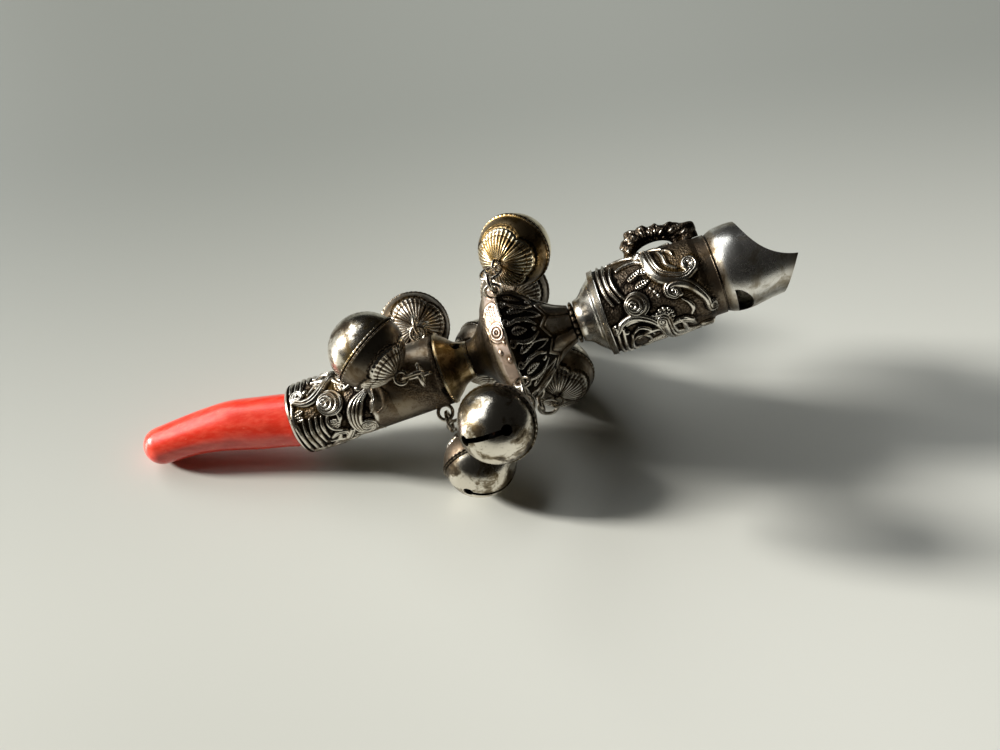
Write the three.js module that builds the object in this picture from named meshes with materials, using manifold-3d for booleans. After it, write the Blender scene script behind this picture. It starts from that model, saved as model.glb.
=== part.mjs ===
// A Victorian silver rattle: a coral teether, a sleeve, a hollow body with a sharp ridge, a whistle
// and eight crotal bells on linked rings. Millimetres, +Z up, lying as it rests on a table.
// In its own group the rattle's axis is X, from the coral's tip towards the whistle.
import * as THREE from "three";
import { mergeVertices } from "three/addons/utils/BufferGeometryUtils.js";
import Module from "manifold-3d";

const wasm = await Module();
wasm.setup();

// How the rattle lies
const restTilt = 17.7; // degrees that the whistle end is up
const rattleRoll = 38.2; // degrees about its axis, from the coral's end
const loopTurn = 180; // degrees about the axis, from the window's side to the loop's

// Clearances and walls
const seatGap = 0.3; // between pieces that seat on each other
const sheetWall = 0.7; // the stamped sheet silver
const cutOverrun = 2; // how far a cutter runs past what it cuts
const turnedSides = 24; // facets round a turned piece

// Coral
const coralReach = 35.2; // from the tip to the sleeve's mouth, along the axis
const coralShank = 13; // length of the shank in the sleeve
const coralMouthRadius = 5.8;
const coralShankRadius = 5.5;
const coralTipRadius = 4.15;
const coralBend = 4.75; // how far the tip lies off the axis
const coralBendTurn = 173; // degrees, direction of the bend about the axis
// Along the free part, from the mouth: the shares of the bend, and of the mouth's radius over the tip's
const coralBendShares = [
  [0, 0], [0.06, 0.12], [0.23, 0.39], [0.44, 0.75], [0.6, 0.9], [0.77, 0.98], [1, 1]];
const coralTaperShares = [[0, 1], [0.23, 0.97], [0.44, 0.87], [0.6, 0.58], [0.77, 0.29], [1, 0.03]];
const coralSides = 16;
const cementLength = 11;

// Sleeve
const sleeveLength = 34.2;
const sleeveRadius = 7.8;
const sleeveLip = 0.8; // thickness of the closed-in mouth
const sleeveBevel = 0.35;
const sleeveEyeInset = 2.7; // from the sleeve's end to its eyes

// End cap with its disc and vent
const capDiscThickness = 0.6;
const capDiscOver = 0.1; // how far the disc stands past the sleeve
const capSpigot = 2.2;
const capLength = 5.6; // from the disc's outer face to the waist
const capShares = [[0, 1], [0.24, 0.68], [0.56, 0.22], [1, 0]]; // along the cap, and above the waist
const waistRadius = 4;
const ventRadius = 1.1;
const ventAlongShare = 0.64; // of the cap's length
const ventTurn = 145; // degrees about the axis

// Flare, ridge and shoulder
const flareLength = 7.3;
const flareShares = [[0, 0], [0.2, 0.05], [0.36, 0.17], [0.6, 0.47], [0.72, 0.72], [0.86, 0.92], [1, 1]];
const ridgeRadius = 12.95;
const ridgeDrop = 0.75; // the flare's rim lies this far under the ridge
const ridgeReturn = 2.1; // width of the shoulder's fold on the flare's side of the ridge
const shoulderLength = 12.9; // from the ridge to the neck
const shoulderShares = [[0, 1], [0.2, 0.83], [0.43, 0.57], [0.6, 0.34], [0.8, 0.13], [1, 0]];
const neckRadius = 4.2;
const neckTubeRadius = 3.3;
const neckTubeWall = 0.7;
const neckTubeReach = 3.4; // how far the neck's tube runs into the skirt

// Bead ring
const beadRingWidth = 0.8;
const beadRadiusShare = 0.16; // of the neck's radius
const beadCount = 18;

// Whistle
const skirtLength = 6;
const skirtNeckRadius = 4.45;
const skirtRimOver = 0.75; // how far the rim stands past the barrel
const skirtRimEdge = 0.15;
const skirtShares = [[0, 0], [0.25, 0.16], [0.52, 0.5], [1, 1]];
const barrelLength = 24.9;
const barrelRadius = 8.9;
const barrelLap = 0.9; // how far the skirt's rim laps over the barrel
const barrelWaistLength = 2.4; // the narrower end, next to the mouthpiece
const barrelWaistDrop = 0.45; // the narrower end under the barrel
const barrelWaistBevel = 1.2;
const basePlateThickness = 0.7;
const mouthSpigot = 2.5;
const bulbLength = 6.1; // from the barrel to the beak's corner
const beakLength = 9.8; // from the corner to the tip
const mouthWall = 0.9;
const bulbOver = 0.3; // how far the bulb stands past the barrel
const beakEndDrop = 1.1; // the beak's end under the bulb
const mouthShares = [[0, 0.9], [0.11, 0.975], [0.27, 1], [0.42, 0.975], [0.62, 0.93], [1, 0.88]];
const scoopStartShare = 1.05; // of the bulb's radius, over the axis, where the beak's scoop starts
const scoopBendShares = [[0.13, 0.4], [0.4, -0.05]]; // along the beak, and of the bulb's radius
const beakTipDrop = 1.75; // the tip's upper edge under the axis
const beakEndSlant = 3.9; // how far the end face leans back
const windwayFloor = 5.9; // the block's flat, from the axis
const windowWidth = 9.2; // across, with its flat edge on the barrel's side
const windowTurn = 28; // degrees about the axis, from straight across the scoop
const windowLength = 3.2;
const windowToBlock = 0.2;

// Ribbon loop
const loopSpan = 16.4;
const loopRise = 6;
const loopShares = [
  [0, 0.25], [0.05, 0.75], [0.15, 0.93], [0.27, 1], [0.45, 0.93], [0.66, 0.8], [0.88, 0.66], [0.97, 0.5],
  [1, 0.2]];
const loopOpeningSpan = 8.2;
const loopOpeningRise = 1.9;
const loopOpeningShift = -1.5; // from the loop's middle, towards the skirt
const loopThickness = 3;
const loopBevel = 0.35;
const loopFromBarrelEnd = 0.6;
const loopLobes = 6;
const loopLobeShare = 0.07; // of the rise
const loopSteps = 24;

// Rings
const wireRadius = 0.4;
const ringClearance = 0.2;
const linkRadius = 2.2; // to the middle of the wire
const eyeRadius = 1.6;
const eyeLift = 1.2; // the eye's centre over the wall
const stapleRadius = 1.3;
const stapleWire = 0.35;
const linkSteps = 12;
const eyeSteps = 9;
const wireSides = 5;

// Bells
const bellRadius = 8.2;
const bellWall = 0.6;
const bellPoleGap = 0.9; // the staple's centre over the crown
const seamFlange = 0.35; // how far the seam stands out
const seamThickness = 0.35;
const bellSides = 14;
const bellSteps = 4;
const bellInnerSteps = 3;
const slitWidth = 1.1;
const slitHoleRadius = 1.15;
const slitTurn = 36; // degrees from the bowl's pole to each hole
const pelletRadius = 2;
const pelletGap = 0.6; // left between the pellet and the bell's round inside
const pelletSides = 6;

// Bells on the ridge and on the sleeve: the eye's angle about the axis, and the three rings' turns at
// rest, all in degrees
const ridgeEyeTurn = 55;
const sleeveEyeTurn = 0;
const ridgeBellTurns = [[66, -90, -72], [-90, 29, -14], [-24, 4, 1], [7, 90, 79]];
const sleeveBellTurns = [[62, 66, -86], [-7, -80, -57], [-87, -15, 1], [-28, 65, 34]];

// Chased relief on the sleeve and the barrel: raised bands and round bosses. A band runs through points
// of [along, degrees about the axis], from the sleeve's mouth or the barrel's start, and its width is
// half the band's; a boss has a radius too. The main ones are repeated round the piece
const bandEndWidth = 0.42; // of the band's width in its middle
const bandWidthPower = 1.5;
const bandRise = 0.6;
const bandTopShare = 0.45; // of the band's width, its flat back
const reliefSink = 0.45; // how far the relief is rooted in the wall
const bossRise = 0.75;
const bossTopShare = 0.4;
const bossSides = 7;
const sleeveRepeats = [0, 120, 240]; // degrees about the axis
const barrelRepeats = [0, 152, 254];
const sleeveBands = [
  { line: [[18.2, 94], [16.1, 80], [14.3, 67], [13.2, 48], [13.6, 26], [15.8, 13]], width: 1.7,
    steps: 5 },
  { line: [[10.8, 148], [8.4, 124], [6.2, 113], [3.9, 113], [2.9, 124], [3.6, 136]], width: 0.95,
    steps: 5 }];
const sleeveFrontBands = [
  { line: [[20.9, 102], [21.9, 86], [21.5, 70], [19.8, 60]], width: 0.8, steps: 3 },
  { line: [[9.6, 164], [8.3, 143], [6.8, 135]], width: 0.6, steps: 2 },
  { line: [[2.2, 106], [2.1, 62], [2.1, 22]], width: 0.5, steps: 4 },
  { line: [[4.7, 84], [4.4, 52], [4.6, 20]], width: 0.5, steps: 3 },
  { line: [[7, 84], [6.4, 58], [6.3, 26]], width: 0.5, steps: 3 },
  { line: [[8.2, 56], [10, 43], [10.4, 28]], width: 0.8, steps: 2 }];
const sleeveBosses = [[10, 98, 2.9], [16.4, 29, 1.6], [17, 106, 1.1], [5.2, 131, 0.9]];
const barrelBands = [
  { line: [[12.5, 150], [12.5, 127], [13.7, 111], [16, 101.5], [18.7, 98.5], [20.6, 104], [20.8, 113]],
    width: 1.45, steps: 6 },
  { line: [
    [15, 82], [14.9, 87], [15.9, 91.5], [17.9, 89.5], [19.9, 80], [21.2, 66], [21.7, 53], [21.2, 45]],
    width: 1, steps: 6 }];
const barrelFrontBands = [
  { line: [[15.4, 150], [16.5, 138], [16.6, 122]], width: 0.5, steps: 2 },
  { line: [[3.7, 154], [3.1, 131], [3.3, 112], [4.1, 96]], width: 0.45, steps: 3 },
  { line: [[5.3, 146], [4.7, 126], [5, 108], [5.5, 97]], width: 0.45, steps: 3 },
  { line: [[8.9, 127], [7.8, 116], [8.6, 106]], width: 0.7, steps: 2 },
  { line: [[5.8, 141], [7.5, 145], [9.6, 146]], width: 0.7, steps: 2 },
  { line: [[2.9, 60], [4.9, 68], [7.5, 65], [10, 52], [10.1, 38]], width: 0.9, steps: 4 },
  { line: [[13.7, 34], [16, 41], [17.8, 28]], width: 0.9, steps: 2 }];
const barrelBosses = [[7.6, 84, 2.5], [19.1, 113, 1.15], [15.8, 79, 0.9], [12, 57, 1.9], [20.6, 49, 0.9]];

// Radii that follow the piece they fit
const capDiscRadius = sleeveRadius + capDiscOver;
const skirtRimRadius = barrelRadius + skirtRimOver;
const barrelWaistRadius = barrelRadius - barrelWaistDrop;
const bulbRadius = barrelRadius + bulbOver;
const beakEndRadius = bulbRadius - beakEndDrop;

// Stations along the axis, from the coral's tip
const mouthAt = coralReach;
const sleeveEndAt = mouthAt + sleeveLength;
const discAt = sleeveEndAt + seatGap;
const waistAt = discAt + capDiscThickness + capLength;
const flareAt = waistAt + seatGap;
const flareRimAt = flareAt + flareLength;
const ridgeAt = flareRimAt + seatGap + ridgeReturn;
const neckAt = ridgeAt + shoulderLength;
const beadAt = neckAt + seatGap;
const skirtAt = beadAt + beadRingWidth + seatGap;
const skirtRimAt = skirtAt + skirtLength;
const barrelAt = skirtRimAt - barrelLap;
const barrelEndAt = barrelAt + barrelLength;
const bulbAt = barrelEndAt + seatGap;
const beakAt = bulbAt + bulbLength;
const tipAt = beakAt + beakLength;

const radians = THREE.MathUtils.degToRad;

// Materials, as the eye sees them
const silver = new THREE.MeshStandardMaterial({ color: 0xb9b2a2, metalness: 1, roughness: 0.3 });
const darkSilver = new THREE.MeshStandardMaterial({ color: 0x8a8070, metalness: 1, roughness: 0.42 });
const giltSilver = new THREE.MeshStandardMaterial({ color: 0xa38f63, metalness: 1, roughness: 0.35 });
const coral = new THREE.MeshStandardMaterial({ color: 0xe8452f, metalness: 0, roughness: 0.28 });
const pitch = new THREE.MeshStandardMaterial({ color: 0x2a211c, metalness: 0, roughness: 0.8 });
const iron = new THREE.MeshStandardMaterial({ color: 0x4b4845, metalness: 1, roughness: 0.6 });

// A closed mesh as a solid: doubles merged, slivers without area dropped, faces outwards
function solidOf(geometry) {
  const bare = geometry.clone();
  bare.deleteAttribute("normal");
  bare.deleteAttribute("uv");
  const merged = mergeVertices(bare);
  const index = merged.index.array;
  const kept = [];
  for (let i = 0; i < index.length; i += 3) {
    const [a, b, c] = [index[i], index[i + 1], index[i + 2]];
    if (a !== b && b !== c && c !== a) kept.push(a, b, c);
  }
  const make = (corners) => new wasm.Manifold(new wasm.Mesh({
    numProp: 3,
    vertProperties: new Float32Array(merged.attributes.position.array),
    triVerts: new Uint32Array(corners),
  }));
  const solid = make(kept);
  if (solid.volume() > 0) return solid;
  const turned = [];
  for (let i = 0; i < kept.length; i += 3) turned.push(kept[i], kept[i + 2], kept[i + 1]);
  return make(turned);
}

function geometryOf(solid) {
  const mesh = solid.getMesh();
  const geometry = new THREE.BufferGeometry();
  const places = new Float32Array(mesh.vertProperties);
  geometry.setAttribute("position", new THREE.BufferAttribute(places, 3));
  geometry.setIndex(new THREE.BufferAttribute(new Uint32Array(mesh.triVerts), 1));
  geometry.computeVertexNormals();
  return geometry;
}

function addPiece(parent, name, solid, material) {
  const mesh = new THREE.Mesh(geometryOf(solid), material);
  mesh.name = name;
  parent.add(mesh);
  return mesh;
}

// A turned piece round X; the outline's points are [along, radius], and it closes on itself
function turnedPiece(outline, sides = turnedSides) {
  const points = outline.map(([along, radius]) => new THREE.Vector2(radius, along));
  points.push(points[0].clone());
  const geometry = new THREE.LatheGeometry(points, sides);
  geometry.rotateZ(-Math.PI / 2);
  return solidOf(geometry);
}

// A smooth profile through shares of a length and of a rise, as [along, radius] points
function profile(shares, start, length, low, rise, steps) {
  const curve = new THREE.SplineCurve(
    shares.map(([s, t]) => new THREE.Vector2(start + s * length, low + t * rise)));
  return curve.getPoints(steps).map((p) => [p.x, p.y]);
}

const inset = (points, wall) => points.map(([along, radius]) => [along, radius - wall]);

// A closed surface through rings of points, with a pole at each end
function loft(rings, startPole, endPole) {
  const sides = rings[0].length;
  const places = [startPole, ...rings.flat(), endPole].flatMap((p) => p.toArray());
  const corners = [];
  const at = (ring, side) => 1 + ring * sides + (side % sides);
  const last = rings.length * sides + 1;
  for (let s = 0; s < sides; s++) {
    corners.push(0, at(0, s + 1), at(0, s));
    corners.push(last, at(rings.length - 1, s), at(rings.length - 1, s + 1));
    for (let r = 0; r < rings.length - 1; r++) {
      corners.push(at(r, s), at(r, s + 1), at(r + 1, s));
      corners.push(at(r + 1, s), at(r, s + 1), at(r + 1, s + 1));
    }
  }
  const geometry = new THREE.BufferGeometry();
  geometry.setAttribute("position", new THREE.Float32BufferAttribute(places, 3));
  geometry.setIndex(corners);
  return solidOf(geometry);
}

// A wire ring in the plane of X and Y, or of Y and Z when it is turned
function wireRing(radius, wire, steps, centre, turned = false) {
  const geometry = new THREE.TorusGeometry(radius, wire, wireSides, steps);
  if (turned) geometry.rotateY(Math.PI / 2);
  geometry.translate(centre.x, centre.y, centre.z);
  return solidOf(geometry);
}

// The direction at an angle about the axis: 0 is the window's side of the whistle, 180 its loop's
const axisTurn = (degrees) => Math.PI - radians(degrees - rattleRoll);

// The bent, tapering coral, through rings across its centreline
function coralStick() {
  const bendTurn = axisTurn(coralBendTurn);
  const side = new THREE.Vector3(0, Math.cos(bendTurn), Math.sin(bendTurn));
  const freeLength = coralReach - coralTipRadius;
  const steps = 9;
  const middles = profile(coralBendShares, coralReach, -freeLength, 0, coralBend, steps).map(
    ([along, off]) => new THREE.Vector3(along, 0, 0).addScaledVector(side, off));
  const radii = profile(
    coralTaperShares, 0, 1, coralTipRadius, coralMouthRadius - coralTipRadius, steps).map((p) => p[1]);
  const ringAt = (middle, along, size) => {
    const across = new THREE.Vector3().crossVectors(along, side).normalize();
    const up = new THREE.Vector3().crossVectors(across, along).normalize();
    return Array.from({ length: coralSides }, (_, n) => {
      const turn = n / coralSides * 2 * Math.PI;
      return middle.clone().addScaledVector(across, size * Math.cos(turn))
        .addScaledVector(up, size * Math.sin(turn));
    });
  };
  const back = new THREE.Vector3(-1, 0, 0);
  const rings = [
    ringAt(new THREE.Vector3(coralReach + coralShank, 0, 0), back, coralShankRadius),
    ringAt(new THREE.Vector3(coralReach + sleeveLip, 0, 0), back, coralShankRadius),
  ];
  for (let n = 0; n <= steps; n++) {
    const ahead = middles[Math.min(steps, n + 1)].clone().sub(middles[Math.max(0, n - 1)]).normalize();
    rings.push(ringAt(middles[n], ahead, radii[n]));
  }
  const end = middles[steps];
  const heading = end.clone().sub(middles[steps - 1]).normalize();
  const domeSteps = 4;
  for (let n = 1; n < domeSteps; n++) {
    const turn = n / domeSteps * Math.PI / 2;
    const middle = end.clone().addScaledVector(heading, coralTipRadius * Math.sin(turn));
    rings.push(ringAt(middle, heading, coralTipRadius * Math.cos(turn)));
  }
  return loft(rings, new THREE.Vector3(coralReach + coralShank, 0, 0),
    end.clone().addScaledVector(heading, coralTipRadius));
}

function coralCement() {
  const start = mouthAt + sleeveLip + seatGap;
  const outer = sleeveRadius - sheetWall - seatGap;
  const inner = coralShankRadius + seatGap;
  return turnedPiece([
    [start, inner], [start, outer], [start + cementLength, outer], [start + cementLength, inner]]);
}

// Where an eye's outermost wire lies, from the axis: the first hinge of a bell's chain
const hingeRadius = (wall) => wall + eyeLift + eyeRadius;

// Four soldered eyes round a piece, as wire rings that stand in its wall
function withEyes(solid, station, wall, firstTurn, bore) {
  let whole = solid;
  for (let n = 0; n < 4; n++) {
    const ring = new THREE.TorusGeometry(eyeRadius, wireRadius, wireSides, eyeSteps);
    ring.translate(0, wall + eyeLift, 0);
    ring.rotateX(axisTurn(firstTurn + n * 90));
    ring.translate(station, 0, 0);
    whole = whole.add(solidOf(ring).subtract(bore));
  }
  return whole;
}

// A plain round cutter along X
function rod(start, end, radius, sides = turnedSides) {
  const geometry = new THREE.CylinderGeometry(radius, radius, end - start, sides);
  geometry.rotateZ(-Math.PI / 2);
  geometry.translate((start + end) / 2, 0, 0);
  return solidOf(geometry);
}

const sleeveEyesAt = sleeveEndAt - sleeveEyeInset;

// Carries a flat point [along, round] and a height onto a wall, in a group turned about the axis
const onWall = (radius, groupTurn) => (point, height) => {
  const angle = axisTurn(0) - groupTurn - point.y / radius;
  return [point.x, (radius + height) * Math.cos(angle), (radius + height) * Math.sin(angle)];
};

// A round boss with a sloping side and a flat top
function boss(place, centre, radius) {
  const ring = (size, height) => Array.from({ length: bossSides }, (_, n) => {
    const angle = (n / bossSides) * 2 * Math.PI;
    return place(centre.clone().add(new THREE.Vector2(Math.cos(angle), Math.sin(angle))
      .multiplyScalar(size)), height);
  });
  return wasm.Manifold.hull([...ring(radius, -reliefSink), ...ring(radius * bossTopShare, bossRise)]);
}

// A raised band, in short straight lengths that taper towards both ends
function band(place, line, width, steps) {
  const curve = new THREE.SplineCurve(line);
  const sections = Array.from({ length: steps + 1 }, (_, n) => {
    const share = n / steps;
    const half = width
      * (1 - (1 - bandEndWidth) * Math.pow(Math.abs(2 * share - 1), bandWidthPower));
    const middle = curve.getPointAt(share);
    const way = curve.getTangentAt(share);
    const side = new THREE.Vector2(-way.y, way.x);
    const at = (off, height) => place(middle.clone().addScaledVector(side, off), height);
    return [
      at(half, -reliefSink), at(-half, -reliefSink), at(half * bandTopShare, bandRise),
      at(-half * bandTopShare, bandRise)];
  });
  return sections.slice(1).map((section, n) => wasm.Manifold.hull([...sections[n], ...section]));
}

// A tube with its relief, which stays out of the bore
function withRelief(tube, hollow, radius, start, repeats, bands, frontBands, bosses, groupTurn = 0) {
  const place = onWall(radius, groupTurn);
  const flat = ([along, turn], repeat) =>
    new THREE.Vector2(start + along, radians(turn + repeat) * radius);
  const raisedBand = ({ line, width, steps }, repeat) =>
    band(place, line.map((point) => flat(point, repeat)), width, steps);
  const raised = [
    ...frontBands.flatMap((motif) => raisedBand(motif, 0)),
    ...repeats.flatMap((repeat) => [
      ...bands.flatMap((motif) => raisedBand(motif, repeat)),
      ...bosses.map(([along, turn, size]) => boss(place, flat([along, turn], repeat), size))])];
  return tube.add(wasm.Manifold.union(raised).subtract(hollow));
}

function sleeve() {
  const bore = sleeveRadius - sheetWall;
  const lipBore = coralMouthRadius + seatGap;
  const tube = turnedPiece([
    [mouthAt, lipBore], [mouthAt, sleeveRadius - sleeveBevel], [mouthAt + sleeveBevel, sleeveRadius],
    [sleeveEndAt, sleeveRadius], [sleeveEndAt, bore], [mouthAt + sleeveLip, bore],
    [mouthAt + sleeveLip, lipBore]]);
  const hollow = rod(mouthAt + sleeveLip, sleeveEndAt + cutOverrun, bore);
  const chased = withRelief(
    tube, hollow, sleeveRadius, mouthAt, sleeveRepeats, sleeveBands, sleeveFrontBands, sleeveBosses);
  return withEyes(chased, sleeveEyesAt, sleeveRadius, sleeveEyeTurn, hollow);
}

function sleeveEndCap() {
  const spigot = sleeveRadius - sheetWall - seatGap;
  const shoulder = discAt + capDiscThickness;
  const walls = (steps) => profile(
    capShares, shoulder, capLength, waistRadius, spigot - waistRadius + sheetWall, steps);
  const outer = walls(5);
  const inner = inset(walls(3), sheetWall).reverse();
  const cap = turnedPiece([
    [discAt - capSpigot, spigot], [discAt, spigot], [discAt, capDiscRadius],
    [shoulder, capDiscRadius], ...outer, ...inner, [discAt - capSpigot, spigot - sheetWall]]);
  const vent = new THREE.CylinderGeometry(ventRadius, ventRadius, capDiscRadius, 12);
  vent.translate(0, waistRadius - sheetWall + capDiscRadius / 2, 0);
  vent.rotateX(axisTurn(ventTurn));
  vent.translate(shoulder + ventAlongShare * capLength, 0, 0);
  return cap.subtract(solidOf(vent));
}

const flareRimRadius = ridgeRadius - ridgeDrop;

function bodyFlare() {
  const walls = (steps) => profile(
    flareShares, flareAt, flareLength, waistRadius, flareRimRadius - waistRadius, steps);
  const spigot = waistRadius - sheetWall - seatGap;
  return turnedPiece([
    [flareAt - capSpigot, spigot], [flareAt, spigot], ...walls(7), ...inset(walls(5), sheetWall).reverse(),
    [flareAt - capSpigot, spigot - sheetWall]]);
}

// The shoulder: a fold over the ridge, the narrowing wall and the neck's tube
function bodyShoulder() {
  const walls = (steps) => profile(
    shoulderShares, ridgeAt, shoulderLength, neckRadius, ridgeRadius - neckRadius, steps);
  const outer = walls(7);
  const fold = ridgeAt - ridgeReturn;
  const foldRadius = flareRimRadius + ridgeDrop * 0.1;
  const tubeEnd = neckAt + neckTubeReach;
  const inner = inset(walls(5), sheetWall);
  const shell = turnedPiece([
    [fold, foldRadius - sheetWall], [fold, foldRadius], ...outer,
    [neckAt, neckTubeRadius], [tubeEnd, neckTubeRadius], [tubeEnd, neckTubeRadius - neckTubeWall],
    [neckAt - sheetWall, neckTubeRadius - neckTubeWall], ...inner.slice(0, -1).reverse()]);
  const hollow = turnedPiece([
    [fold, 0], [fold, foldRadius - sheetWall], ...inner.slice(0, -1),
    [neckAt - sheetWall, neckTubeRadius - neckTubeWall], [neckAt - sheetWall, 0]]);
  return withEyes(shell, ridgeAt, ridgeRadius, ridgeEyeTurn, hollow);
}

function neckBeadRing() {
  const bead = neckRadius * beadRadiusShare;
  const bore = neckTubeRadius + seatGap;
  const outline = new THREE.Shape();
  const steps = beadCount * 4;
  for (let n = 0; n < steps; n++) {
    const turn = n / steps * 2 * Math.PI;
    const radius = neckRadius + bead * (Math.abs(Math.cos(turn * beadCount / 2)) - 0.5);
    const place = [radius * Math.cos(turn), radius * Math.sin(turn)];
    if (n) outline.lineTo(...place);
    else outline.moveTo(...place);
  }
  outline.closePath();
  const hole = new THREE.Path();
  hole.absarc(0, 0, bore, 0, 2 * Math.PI, true);
  outline.holes.push(hole);
  const geometry = new THREE.ExtrudeGeometry(
    outline, { depth: beadRingWidth, bevelEnabled: false, curveSegments: turnedSides / 2 });
  geometry.rotateY(Math.PI / 2);
  geometry.translate(beadAt, 0, 0);
  return solidOf(geometry);
}

function whistleSkirt() {
  const walls = (steps) => profile(
    skirtShares, skirtAt, skirtLength, skirtNeckRadius, skirtRimRadius - skirtNeckRadius, steps);
  const lapBore = barrelRadius + seatGap;
  const lapAt = barrelAt - seatGap;
  const bore = neckTubeRadius + seatGap;
  const inner = inset(walls(4), sheetWall).filter(([along]) => along < lapAt - seatGap);
  return turnedPiece([
    [skirtAt, bore], ...walls(6), [skirtRimAt, lapBore + skirtRimEdge], [lapAt, lapBore],
    ...inner.reverse().slice(0, -1)]);
}

function whistleBasePlate() {
  const radius = barrelRadius - sheetWall - seatGap;
  const start = barrelAt + seatGap;
  return rod(start, start + basePlateThickness, radius);
}

function whistleBarrel() {
  const bore = barrelRadius - sheetWall;
  const waistBore = barrelWaistRadius - sheetWall;
  const step = barrelEndAt - barrelWaistLength;
  const tube = turnedPiece([
    [barrelAt, bore], [barrelAt, barrelRadius], [step - barrelWaistBevel, barrelRadius],
    [step, barrelWaistRadius], [barrelEndAt, barrelWaistRadius], [barrelEndAt, waistBore],
    [step - sheetWall, waistBore], [step - sheetWall - sleeveBevel, bore]]);
  return withRelief(
    tube, rod(barrelAt, barrelEndAt, bore), barrelRadius, barrelAt, barrelRepeats, barrelBands,
    barrelFrontBands, barrelBosses, axisTurn(loopTurn));
}

// What the beak's scoop takes away, moved by a share of wall towards the inside for the hollow
function scoopCutter(wall) {
  const side = bulbRadius + cutOverrun;
  const at = (share) => beakAt + share * beakLength;
  const start = bulbRadius * scoopStartShare;
  const [first, second] = scoopBendShares;
  const shape = new THREE.Shape();
  shape.moveTo(beakAt, start);
  shape.bezierCurveTo(
    at(first[0]), bulbRadius * first[1], at(second[0]), bulbRadius * second[1], tipAt, -beakTipDrop);
  shape.lineTo(tipAt + cutOverrun, -beakTipDrop);
  shape.lineTo(tipAt + cutOverrun, side);
  shape.lineTo(beakAt, side);
  shape.closePath();
  const geometry = new THREE.ExtrudeGeometry(
    shape, { depth: 2 * side, bevelEnabled: false, curveSegments: 10 });
  geometry.translate(-wall, -wall, -side);
  return solidOf(geometry);
}

// What the slanted end face takes away
function endCutter(back) {
  const side = bulbRadius + cutOverrun;
  const lean = beakEndSlant / (beakEndRadius - beakTipDrop); // along, for each unit down
  const shape = new THREE.Shape();
  const edge = (height) => tipAt - back + (height + beakTipDrop) * lean;
  shape.moveTo(edge(side), side);
  shape.lineTo(edge(-side), -side);
  shape.lineTo(edge(side) + beakLength, -side);
  shape.lineTo(edge(side) + beakLength, side);
  shape.closePath();
  const geometry = new THREE.ExtrudeGeometry(shape, { depth: 2 * side, bevelEnabled: false });
  geometry.translate(0, 0, -side);
  return solidOf(geometry);
}

function mouthOutline(wall) {
  return profile(mouthShares, bulbAt, tipAt - bulbAt, -wall, bulbRadius, 7);
}

function whistleMouthpiece() {
  const spigot = barrelWaistRadius - sheetWall - seatGap;
  const outer = mouthOutline(0);
  const hull = turnedPiece([
    [bulbAt - mouthSpigot, 0], [bulbAt - mouthSpigot, spigot], [bulbAt, spigot], ...outer,
    [tipAt, 0]]).subtract(scoopCutter(0)).subtract(endCutter(0));
  const inner = mouthOutline(mouthWall).filter(([along]) => along > bulbAt + mouthWall);
  const hollow = turnedPiece([
    [bulbAt - mouthSpigot - cutOverrun, 0], [bulbAt - mouthSpigot - cutOverrun, spigot - sheetWall],
    [bulbAt, spigot - sheetWall], ...inner, [tipAt + cutOverrun, beakEndRadius - mouthWall],
    [tipAt + cutOverrun, 0]]).subtract(scoopCutter(mouthWall));
  const windowShape = new THREE.Shape();
  const flat = beakAt - windowToBlock - mouthWall - windowLength;
  windowShape.moveTo(flat, -windowWidth / 2);
  windowShape.lineTo(flat, windowWidth / 2);
  windowShape.absellipse(flat, 0, windowLength, windowWidth / 2, Math.PI / 2, -Math.PI / 2, true);
  const windowCut = new THREE.ExtrudeGeometry(
    windowShape, { depth: bulbRadius, bevelEnabled: false, curveSegments: 10 });
  windowCut.rotateX(Math.PI / 2);
  windowCut.translate(0, -windwayFloor / 2, 0);
  windowCut.rotateX(-radians(windowTurn));
  return hull.subtract(hollow).subtract(solidOf(windowCut));
}

function whistleBlock() {
  const inside = mouthWall + seatGap;
  const start = beakAt - mouthWall;
  const body = turnedPiece([
    [start, 0], ...mouthOutline(inside).filter(([along]) => along > start), [tipAt, 0]])
    .intersect(rod(start, tipAt, bulbRadius));
  const windway = new THREE.BoxGeometry(
    beakLength + bulbLength + cutOverrun, bulbRadius, 2 * bulbRadius + cutOverrun);
  windway.translate(beakAt, -windwayFloor - bulbRadius / 2, 0);
  windway.rotateX(-radians(windowTurn));
  return body.subtract(scoopCutter(inside)).subtract(endCutter(seatGap)).subtract(solidOf(windway));
}

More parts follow.
